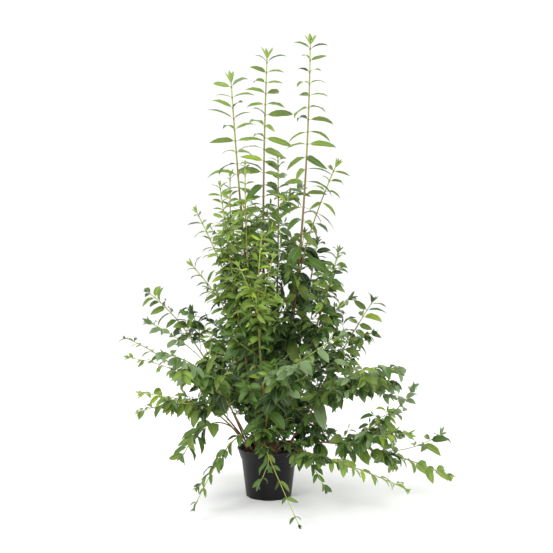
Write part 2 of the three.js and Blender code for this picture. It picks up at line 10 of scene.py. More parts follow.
import bpy
import numpy as np
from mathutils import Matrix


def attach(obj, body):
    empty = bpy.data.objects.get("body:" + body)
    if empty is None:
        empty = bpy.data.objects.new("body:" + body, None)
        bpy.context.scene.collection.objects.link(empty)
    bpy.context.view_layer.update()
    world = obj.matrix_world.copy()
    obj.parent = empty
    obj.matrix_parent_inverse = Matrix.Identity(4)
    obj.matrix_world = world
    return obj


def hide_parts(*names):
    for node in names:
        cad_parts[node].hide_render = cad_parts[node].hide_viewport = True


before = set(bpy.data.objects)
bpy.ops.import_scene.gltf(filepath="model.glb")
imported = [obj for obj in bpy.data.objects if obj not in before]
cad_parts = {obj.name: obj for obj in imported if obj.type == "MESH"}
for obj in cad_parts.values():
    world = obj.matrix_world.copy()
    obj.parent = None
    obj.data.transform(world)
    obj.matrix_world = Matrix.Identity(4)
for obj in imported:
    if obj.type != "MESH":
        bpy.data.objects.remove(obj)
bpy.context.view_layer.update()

BODY = "root"
LOG = logging.getLogger("forsythia")

Colour = tuple[float, float, float]
Point = tuple[float, float, float]
Span = tuple[float, float]
Stops = tuple[tuple[float, Colour], ...]
Piece = bpy.types.Object
Material = bpy.types.Material
Socket = bpy.types.NodeSocket

UP = np.array((0.0, 0.0, 1.0))
BACK = np.array((0.0, 1.0, 0.0))
EVEN: Point = (1.0, 1.0, 1.0)
EYE: Point = (0.0295, -4.5, 1.25)
FULL_TURN = 2 * math.pi
TINY = 1e-12

# Edges that bend by more degrees than this stay hard.
LEAF_EDGE = 50.0
ROUGH_EDGE = 60.0


class Tone(Enum):
    """How far the leaves of a cane have ripened."""

    DEEP = "deep"
    FRESH = "fresh"
    DUSTY = "dusty"
    YOUNG = "young"

    @property
    def slot(self) -> str:
        """The record's material slot."""
        return "leaf_fresh" if self is Tone.DUSTY else f"leaf_{self.value}"


class Region(Enum):
    """The part of the crown that a cane belongs to."""

    TALL = "tall"
    UPPER = "upper"
    LEFT = "left"
    RIGHT = "right"
    FRONT = "front"
    BACK = "back"


@dataclass(frozen=True)
class Habit:
    """How shoots of one order carry their leaves and how round their stems are."""

    step: float
    scale: float
    tuft: int
    tuft_scale: float
    sides: int


class Order(Enum):
    """How many times a shoot has branched from its cane."""

    CANE = Habit(step=0.042, scale=1.0, tuft=5, tuft_scale=0.42, sides=8)
    FORK = Habit(step=0.040, scale=1.0, tuft=5, tuft_scale=0.56, sides=7)
    TWIG = Habit(step=0.037, scale=1.0, tuft=2, tuft_scale=0.5, sides=6)
    TWIGLET = Habit(step=0.034, scale=0.92, tuft=1, tuft_scale=0.45, sides=5)

    @property
    def is_main(self) -> bool:
        """True for a cane's own stem and its forks."""
        return self in (Order.CANE, Order.FORK)


def deselect_all() -> None:
    """Leaves object mode with nothing selected."""
    if bpy.context.object and bpy.context.object.mode != "OBJECT":
        bpy.ops.object.mode_set(mode="OBJECT")
    bpy.ops.object.select_all(action="DESELECT")


def select_only(piece: Piece) -> None:
    """Makes one object the only selected one, and the active one.

    Args:
        piece: The object.
    """
    deselect_all()
    piece.select_set(True)
    bpy.context.view_layer.objects.active = piece


def apply_modifiers(piece: Piece) -> None:
    """Applies every modifier of a piece in order.

    Args:
        piece: The piece.
    """
    select_only(piece)
    for modifier in list(piece.modifiers):
        bpy.ops.object.modifier_apply(modifier=modifier.name)


def smooth_by_angle(piece: Piece, degrees: float) -> None:
    """Shades a piece smooth, with edges sharper than the angle left hard."""
    select_only(piece)
    bpy.ops.object.shade_smooth_by_angle(angle=math.radians(degrees))


def join_pieces(pieces: list[Piece]) -> Piece:
    """Joins mesh objects into the first of them.

    Args:
        pieces: The objects.

    Returns:
        The joined object, which is the active one.
    """
    deselect_all()
    for piece in pieces:
        piece.select_set(True)
    bpy.context.view_layer.objects.active = pieces[0]
    bpy.ops.object.join()
    return pieces[0]


def roughen(piece: Piece, name: str, layers: tuple[Span, ...], **settings: object) -> None:
    """Raises layers of cloudy relief on a piece.

    Args:
        piece: The piece.
        name: The relief's name.
        layers: The size of each layer's clouds and their height, in metres.
        settings: Further settings of the relief.
    """
    for scale, strength in layers:
        clouds = bpy.data.textures.new(name, "CLOUDS")
        clouds.noise_scale = scale
        relief = piece.modifiers.new(name, "DISPLACE")
        relief.texture = clouds
        relief.strength = strength
        for key, value in settings.items():
            setattr(relief, key, value)
    apply_modifiers(piece)


def dress(piece: Piece, material: Material, degrees: float) -> Piece:
    """Gives a piece its one material and shades it smooth.

    Args:
        piece: The piece.
        material: Its material.
        degrees: The angle above which its edges stay hard.

    Returns:
        The piece.
    """
    piece.data.materials.clear()
    piece.data.materials.append(material)
    smooth_by_angle(piece, degrees)
    return piece


def unit(vectors: np.ndarray) -> np.ndarray:
    """Scales vectors to length one along their last axis."""
    return vectors / np.maximum(np.linalg.norm(vectors, axis=-1, keepdims=True), TINY)


def eased(value: float, low: float, high: float) -> float:
    """The share a value has come from one end of a span to the other, slow at both ends."""
    share = min(max((value - low) / (high - low), 0.0), 1.0)
    return share * share * (3.0 - 2.0 * share)


def mix(low: float, high: float, share: float) -> float:
    """The value that lies a share of the way from low to high."""
    return low + (high - low) * share


def turned_solid(name: str, profile: list[Span], segments: int) -> Piece:
    """Raises a round solid from a disc, by extruding and resizing its face along a profile.

    Args:
        name: The object's name.
        profile: Radius and height of each ring, from the underside to the last face.
        segments: The number of sides.

    Returns:
        The closed solid, at the origin.
    """
    deselect_all()
    radius, height = profile[0]
    bpy.ops.mesh.primitive_circle_add(
        vertices=segments, radius=radius, fill_type="NGON", location=(0.0, 0.0, height)
    )
    solid = bpy.context.object
    solid.name = name
    bpy.ops.object.transform_apply(location=True, rotation=True, scale=True)
    bpy.ops.object.mode_set(mode="EDIT")
    for next_radius, next_height in profile[1:]:
        rise = {"value": (0.0, 0.0, next_height - height)}
        bpy.ops.mesh.extrude_region_move(TRANSFORM_OT_translate=rise)
        share = next_radius / radius
        bpy.ops.transform.resize(value=(share, share, 1.0), center_override=(0.0, 0.0, next_height))
        radius, height = next_radius, next_height
    bpy.ops.mesh.select_all(action="SELECT")
    bpy.ops.mesh.normals_make_consistent(inside=False)
    bpy.ops.object.mode_set(mode="OBJECT")
    return solid


@dataclass(frozen=True)
class Clouds:
    """A cloudy pattern.

    Attributes:
        scale: Cycles a metre.
        detail: How many finer layers are added.
        stretch: How many times finer it runs along each axis.
    """

    scale: float
    detail: float
    stretch: Point = EVEN


# The mix node has sockets for each kind of value: these are the ones for colours.
MIX_INPUTS = (0, 6, 7)
MIX_OUTPUT = 2
REMAP_INPUTS = ("From Min", "From Max", "To Min", "To Max")


@dataclass(frozen=True)
class NodeSheet:
    """A short way to write a procedural material's nodes."""

    material: Material

    @property
    def tree(self) -> bpy.types.NodeTree:
        """The material's node tree."""
        return self.material.node_tree

    @property
    def shader(self) -> bpy.types.Node:
        """The material's surface shader."""
        return self.tree.nodes["Principled BSDF"]

    def add(self, kind: str, **settings: object) -> bpy.types.Node:
        """Adds a node.

        Args:
            kind: The node's type.
            settings: Its properties.

        Returns:
            The new node.
        """
        node = self.tree.nodes.new(kind)
        for name, value in settings.items():
            setattr(node, name, value)
        return node

    def link(self, source: Socket, target: Socket) -> None:
        """Joins two sockets."""
        self.tree.links.new(source, target)

    def place(self, stretch: Point = EVEN) -> Socket:
        """The point on the piece, in metres, stretched along each axis.

        Args:
            stretch: How many times finer a pattern runs along each axis.

        Returns:
            The vector socket to read.
        """
        coordinates = self.add("ShaderNodeTexCoord")
        mapping = self.add("ShaderNodeMapping")
        mapping.inputs["Scale"].default_value = stretch
        self.link(coordinates.outputs["Object"], mapping.inputs["Vector"])
        return mapping.outputs["Vector"]

    def noise(self, clouds: Clouds) -> Socket:
        """A cloudy pattern's values.

        Args:
            clouds: The pattern.

        Returns:
            The socket with values about one half.
        """
        node = self.add("ShaderNodeTexNoise")
        node.inputs["Scale"].default_value = clouds.scale
        node.inputs["Detail"].default_value = clouds.detail
        self.link(self.place(clouds.stretch), node.inputs["Vector"])
        return node.outputs["Fac"]

    def ramp(self, value: Socket, stops: Stops) -> Socket:
        """Turns a value into a colour.

        Args:
            value: The socket to read.
            stops: Each place from 0 to 1 with its colour.

        Returns:
            The colour socket.
        """
        node = self.add("ShaderNodeValToRGB")
        elements = node.color_ramp.elements
        while len(elements) < len(stops):
            elements.new(0.5)
        for element, (place, colour) in zip(elements, stops):
            element.position = place
            element.color = (*colour, 1.0)
        self.link(value, node.inputs["Fac"])
        return node.outputs["Color"]

    def blend(self, amount: Socket, first: Socket, second: Colour) -> Socket:
        """Lays a colour over another by an amount.

        Args:
            amount: The socket that says how much of the second shows.
            first: The colour below.
            second: The colour above.

        Returns:
            The mixed colour socket.
        """
        node = self.add("ShaderNodeMix", data_type="RGBA")
        factor, below, above = (node.inputs[index] for index in MIX_INPUTS)
        above.default_value = (*second, 1.0)
        self.link(amount, factor)
        self.link(first, below)
        return node.outputs[MIX_OUTPUT]

    def remap(self, value: Socket, source: Span, target: Span) -> Socket:
        """Maps a value from one range to another, kept inside it.

        Args:
            value: The socket to read.
            source: The lowest and highest value read.
            target: What they become.

        Returns:
            The mapped socket.
        """
        node = self.add("ShaderNodeMapRange")
        for name, number in zip(REMAP_INPUTS, (*source, *target)):
            node.inputs[name].default_value = number
        self.link(value, node.inputs["Value"])
        return node.outputs["Result"]

    def bump(self, height: Socket, depth: float, strength: float) -> None:
        """Raises the surface's shading by a height.

        Args:
            height: The socket to read.
            depth: The height of a full step, in metres.
            strength: How strongly it shows.
        """
        node = self.add("ShaderNodeBump")
        node.inputs["Strength"].default_value = strength
        node.inputs["Distance"].default_value = depth
        self.link(height, node.inputs["Height"])
        self.link(node.outputs["Normal"], self.shader.inputs["Normal"])


def new_sheet(name: str) -> NodeSheet:
    """A new material with its surface shader.

    Args:
        name: The material's name.

    Returns:
        The material's nodes.
    """
    material = bpy.data.materials.new(name)
    material.use_nodes = True
    return NodeSheet(material)


@dataclass(frozen=True)
class PlainFinish:
    """A finish of one base colour, for the many small pieces that are dealt their colours by spray."""

    name: str
    colour: Colour
    roughness: float
    gloss: float = 0.32

    def material(self) -> Material:
        """The finish as a material, made once.

        Returns:
            The material of that name.
        """
        made = bpy.data.materials.get(self.name)
        if made:
            return made
        sheet = new_sheet(self.name)
        sheet.shader.inputs["Base Color"].default_value = (*self.colour, 1.0)
        sheet.shader.inputs["Roughness"].default_value = self.roughness
        sheet.shader.inputs["Specular IOR Level"].default_value = self.gloss
        return sheet.material


@dataclass(frozen=True)
class CloudyFinish:
    """A finish whose colour and roughness follow a cloudy pattern, with a fine relief.

    Attributes:
        name: The material's name.
        pattern: The pattern that colour and roughness follow.
        stops: The pattern's colours.
        rough_between: The values of the pattern between which the roughness changes.
        roughness: The roughness at those two values.
        relief: The pattern of the relief.
        depth: The height of a full step of the relief, in metres.
        strength: How strongly the relief shows.
        gloss: How strongly the surface mirrors.
    """

    name: str
    pattern: Clouds
    stops: Stops
    rough_between: Span
    roughness: Span
    relief: Clouds
    depth: float
    strength: float
    gloss: float = 0.5

    def overlay(self, sheet: NodeSheet, colour: Socket) -> Socket:
        """The colour with what lies over it, which is nothing on a plain finish."""
        return colour

    def material(self) -> Material:
        """The finish as a node material.

        Returns:
            A new material.
        """
        sheet = new_sheet(self.name)
        pattern = sheet.noise(self.pattern)
        colour = self.overlay(sheet, sheet.ramp(pattern, self.stops))
        roughness = sheet.remap(pattern, self.rough_between, self.roughness)
        sheet.link(colour, sheet.shader.inputs["Base Color"])
        sheet.link(roughness, sheet.shader.inputs["Roughness"])
        sheet.shader.inputs["Specular IOR Level"].default_value = self.gloss
        sheet.bump(sheet.noise(self.relief), self.depth, self.strength)
        return sheet.material


@dataclass(frozen=True)
class BarkFinish(CloudyFinish):
    """Thin brown bark with grey patches, fine cracks and pale pores."""

    name: str = "cane_bark"
    pattern: Clouds = Clouds(38.0, 6.0, (1.0, 1.0, 0.35))
    stops: Stops = (
        (0.30, (0.060, 0.030, 0.013)),
        (0.52, (0.200, 0.098, 0.036)),
        (0.75, (0.270, 0.170, 0.085)),
    )
    rough_between: Span = (0.3, 0.7)
    roughness: Span = (0.9, 0.65)
    relief: Clouds = Clouds(420.0, 5.0, (1.0, 1.0, 0.22))
    depth: float = 0.0006
    strength: float = 0.7
    pore: Colour = (0.400, 0.280, 0.160)
    pore_scale: float = 260.0
    pore_stretch: Point = (1.0, 1.0, 0.6)
    pore_edge: Span = (0.10, 0.22)
    pore_cover: Span = (0.8, 0.0)

    def overlay(self, sheet: NodeSheet, colour: Socket) -> Socket:
        """Lays the pores over the bark.

        Args:
            sheet: The material's nodes.
            colour: The bark's colour.

        Returns:
            The colour socket with pores.
        """
        cells = sheet.add("ShaderNodeTexVoronoi")
        cells.inputs["Scale"].default_value = self.pore_scale
        sheet.link(sheet.place(self.pore_stretch), cells.inputs["Vector"])
        pores = sheet.remap(cells.outputs["Distance"], self.pore_edge, self.pore_cover)
        return sheet.blend(pores, colour, self.pore)


@dataclass(frozen=True)
class PlasticFinish(CloudyFinish):
    """Black moulded plastic, lightly scuffed, with dried compost on the rim."""

    name: str = "pot_plastic"
    pattern: Clouds = Clouds(26.0, 7.0, (1.0, 1.0, 0.3))
    stops: Stops = ((0.36, (0.0042, 0.0042, 0.0045)), (0.70, (0.009, 0.009, 0.010)))
    rough_between: Span = (0.3, 0.75)
    roughness: Span = (0.34, 0.5)
    relief: Clouds = Clouds(900.0, 3.0)
    depth: float = 0.0003
    strength: float = 0.25
    gloss: float = 0.22
    dust: Colour = (0.085, 0.062, 0.045)
    dust_pattern: Clouds = Clouds(90.0, 6.0)
    dust_edge: Span = (0.44, 0.66)
    dust_heights: Span = (0.176, 0.188)
    dust_cover: Span = (0.0, 0.75)

    def overlay(self, sheet: NodeSheet, colour: Socket) -> Socket:
        """Lays dust over the plastic, more of it towards the rim.

        Args:
            sheet: The material's nodes.
            colour: The plastic's colour.

        Returns:
            The colour socket with dust.
        """
        height = sheet.add("ShaderNodeSeparateXYZ")
        sheet.link(sheet.place(), height.inputs["Vector"])
        rim = sheet.remap(height.outputs["Z"], self.dust_heights, self.dust_cover)
        patches = sheet.remap(sheet.noise(self.dust_pattern), self.dust_edge, (0.0, 1.0))
        grime = sheet.add("ShaderNodeMath", operation="MULTIPLY")
        for source, target in zip((rim, patches), grime.inputs):
            sheet.link(source, target)
        return sheet.blend(grime.outputs["Value"], colour, self.dust)


@dataclass(frozen=True)
class CompostFinish(CloudyFinish):
    """Dark moist compost with lighter flecks."""

    name: str = "compost"
    pattern: Clouds = Clouds(160.0, 9.0)
    stops: Stops = (
        (0.34, (0.010, 0.006, 0.004)),
        (0.55, (0.030, 0.018, 0.011)),
        (0.74, (0.090, 0.058, 0.034)),
    )
    rough_between: Span = (0.3, 0.7)
    roughness: Span = (0.8, 1.0)
    relief: Clouds = Clouds(420.0, 8.0)
    depth: float = 0.002
    strength: float = 1.0


@dataclass(frozen=True)
class FloorFinish:
    """A pale studio floor with a faint change of tone."""

    name: str = "studio_floor"
    colour: Colour = (0.955, 0.955, 0.955)
    dimming: float = 0.985
    pattern: Clouds = Clouds(6.0, 3.0)
    places: Span = (0.4, 0.6)
    roughness: float = 0.9

    def material(self) -> Material:
        """The finish as a node material.

        Returns:
            A new material.
        """
        sheet = new_sheet(self.name)
        dim = tuple(self.dimming * channel for channel in self.colour)
        colour = sheet.ramp(sheet.noise(self.pattern), tuple(zip(self.places, (dim, self.colour))))
        sheet.link(colour, sheet.shader.inputs["Base Color"])
        sheet.shader.inputs["Roughness"].default_value = self.roughness
        return sheet.material


LEAF_ROUGHNESS = 0.46
# The darker underside of the darkest tints: partly older leaves, partly painted shade under leaves deep in
# the crown.
UNDERSIDE_DARK = PlainFinish("leaf_underside_dark", (0.096, 0.150, 0.064), 0.62)
UNDERSIDE = PlainFinish("leaf_underside", (0.186, 0.272, 0.118), 0.62)
UNDERSIDE_YOUNG = PlainFinish("leaf_underside_young", (0.270, 0.370, 0.085), 0.6)
RIB = PlainFinish("leaf_rib", (0.180, 0.250, 0.070), 0.5)
RIB_YOUNG = PlainFinish("leaf_rib_young", (0.340, 0.430, 0.110), 0.5)


@dataclass(frozen=True)
class LeafFinish:
    """The three colours of a leaf: its face, its underside and its rib."""

    face: PlainFinish
    under: PlainFinish
    rib: PlainFinish


def leaf_face(name: str, colour: Colour) -> PlainFinish:
    """The finish of a leaf's upper face."""
    return PlainFinish(f"tint_{name}", colour, LEAF_ROUGHNESS)


class Tint(Enum):
    """The tints that sprays of leaves are dealt, from the oldest and darkest to the youngest; the darker
    steps also serve as painted shade deep in the crown.
    """

    # The shade tint is partly painted shade: leaves darkened where shade falls inside the crown.
    SHADE = LeafFinish(leaf_face("shade", (0.024, 0.056, 0.010)), UNDERSIDE_DARK, RIB)
    DEEP = LeafFinish(leaf_face("deep", (0.064, 0.132, 0.018)), UNDERSIDE_DARK, RIB)
    MID = LeafFinish(leaf_face("mid", (0.128, 0.197, 0.031)), UNDERSIDE, RIB)
    # The pale grey-green is partly the leaves' own colour and partly a painted sheen on outer leaves.
    PALE = LeafFinish(leaf_face("pale", (0.172, 0.258, 0.110)), UNDERSIDE, RIB)
    FRESH = LeafFinish(leaf_face("fresh", (0.170, 0.268, 0.036)), UNDERSIDE_YOUNG, RIB_YOUNG)
    LIME = LeafFinish(leaf_face("lime", (0.245, 0.355, 0.024)), UNDERSIDE_YOUNG, RIB_YOUNG)

    def shifted(self, steps: int) -> "Tint":
        """The tint a number of steps younger and lighter, or older and darker, where the pale one counts as
        the middle one.

        Args:
            steps: How many steps younger, or older where it is negative.

        Returns:
            The tint there, or the last one on that side.
        """
        if not steps or (self is Tint.PALE and steps > 0):
            return self
        ladder = [tint for tint in Tint if tint is not Tint.PALE]
        here = ladder.index(Tint.MID if self is Tint.PALE else self)
        return ladder[max(0, min(len(ladder) - 1, here + steps))]


TONE_TINTS = {
    Tone.DEEP: (Tint.DEEP, Tint.DEEP, Tint.DEEP, Tint.MID),
    Tone.FRESH: (Tint.DEEP, Tint.MID, Tint.MID, Tint.PALE),
    Tone.DUSTY: (Tint.PALE, Tint.PALE, Tint.PALE, Tint.PALE),
    Tone.YOUNG: (Tint.MID, Tint.MID, Tint.MID, Tint.FRESH),
}

STEM_OLD = PlainFinish("stem_old", (0.150, 0.084, 0.030), 0.72)
STEM_RIPE = PlainFinish("stem_ripe", (0.200, 0.148, 0.044), 0.62)
STEM_GREEN = PlainFinish("stem_green", (0.270, 0.285, 0.060), 0.55)
STEM_LIME = PlainFinish("stem_lime", (0.330, 0.440, 0.075), 0.5)
STEM_NODE = PlainFinish("stem_node", (0.245, 0.195, 0.055), 0.7)
STEM_FINISHES = (STEM_OLD, STEM_RIPE, STEM_GREEN, STEM_LIME, STEM_NODE)

# A stem keeps each finish up to a distance from its tip, stretched by how young its cane is.
STEM_AGES = ((0.10, STEM_LIME), (0.38, STEM_GREEN), (0.75, STEM_RIPE))
STEM_STRETCH = {Tone.DEEP: 1.0, Tone.FRESH: 1.1, Tone.DUSTY: 1.1, Tone.YOUNG: 1.7}
STEM_TAPER = 0.8


@dataclass(frozen=True)
class CaneSpec:
    """One cane: where it rises, where it goes and how it is clothed.

    Attributes:
        name: Its name.
        region: The part of the crown that it belongs to.
        tone: How far its leaves have ripened.
        foot: Its distance from the pot's axis, and its bearing in degrees.
        via: The point half way along it.
        tip: Its end.
        forks: The ends of its forks.
        fork_places: The shares of its leafy part at which the forks leave.
        thick: Its radius at the foot.
        thin: Its radius at the tip.
        bare: The share of it below the first leaves.
        leaf: The length of its leaves.
        slim: The width of a leaf to its length, near the foot and near the tip.
        spacing: How many times further apart than usual its leaves stand.
        lean: How far its leaves turn from straight out to along the stem, in radians.
        droop: How strongly its leaves hang.
        twigs: How many twigs it is given, before the shrub's own multiple.
        twig: The length of its twigs.
        twig_zone: The shares of its leafy part that its twigs stand between.
        basal: How many short shoots clothe its bare foot.
    """

    name: str
    region: Region
    tone: Tone
    foot: Span
    via: Point
    tip: Point
    forks: tuple[Point, ...] = ()
    fork_places: tuple[float, ...] = (0.34, 0.46, 0.24)
    thick: float = 0.0038
    thin: float = 0.0015
    bare: float = 0.17
    leaf: float = 0.074
    slim: Span = (0.5, 0.42)
    spacing: float = 1.0
    lean: float = 0.5
    droop: float = 1.0
    twigs: int = 4
    twig: float = 0.16
    twig_zone: Span = (0.03, 0.55)
    basal: int = 0

    @property
    def is_young(self) -> bool:
        """True where the cane ends in yellow-green new growth."""
        return self.tone is Tone.YOUNG or self.region is Region.TALL


# Kinds of cane, each with the values that its canes share.
tall_cane = partial(
    CaneSpec, thin=0.0024, bare=0.11, leaf=0.118, slim=(0.44, 0.24), spacing=1.1, lean=0.55, twig=0.15
)
riser = partial(CaneSpec, thick=0.0048, thin=0.0022)
young_riser = partial(riser, slim=(0.36, 0.27), droop=0.6)
back_riser = partial(
    riser, thin=0.0018, bare=0.11, leaf=0.072, droop=0.7, twig=0.19, twig_zone=(0.08, 0.8), basal=1
)
thin_arm = partial(CaneSpec, thick=0.0034)
back_arm = partial(CaneSpec, droop=0.8, twig_zone=(0.03, 0.65))


@dataclass(frozen=True)
class Opening:
    """A gap in the crown that light comes through, seen from the front.

    Attributes:
        x: Its middle across, on the upright plane through the pot's axis.
        z: Its middle above the floor, on the same plane.
        half_width: Half its width.
        half_height: Half its height.
    """

    x: float
    z: float
    half_width: float
    half_height: float

    def holds(self, points: np.ndarray) -> bool:
        """Tells whether points stand in the gap for an eye in front of the plant.

        Args:
            points: The points, one a row.

        Returns:
            True where one of them does.
        """
        eye = np.array(EYE)
        seen = eye + (points - eye) * (eye[1] / (eye[1] - points[:, 1]))[:, None]
        across = (seen[:, 0] - self.x) / self.half_width
        up = (seen[:, 2] - self.z) / self.half_height
        return bool((across**2 + up**2 < 1.0).any())


OPENINGS = (
    Opening(-0.145, 0.268, 0.068, 0.042),
    Opening(-0.280, 0.541, 0.046, 0.038),
    Opening(0.073, 0.776, 0.016, 0.034),
    Opening(0.523, 0.171, 0.038, 0.028),
    Opening(0.399, 0.512, 0.040, 0.026),
    Opening(0.235, 0.175, 0.030, 0.022),
    Opening(0.140, 0.842, 0.014, 0.026),
    Opening(0.276, 0.829, 0.024, 0.018),
    Opening(0.405, 0.178, 0.026, 0.014),
)

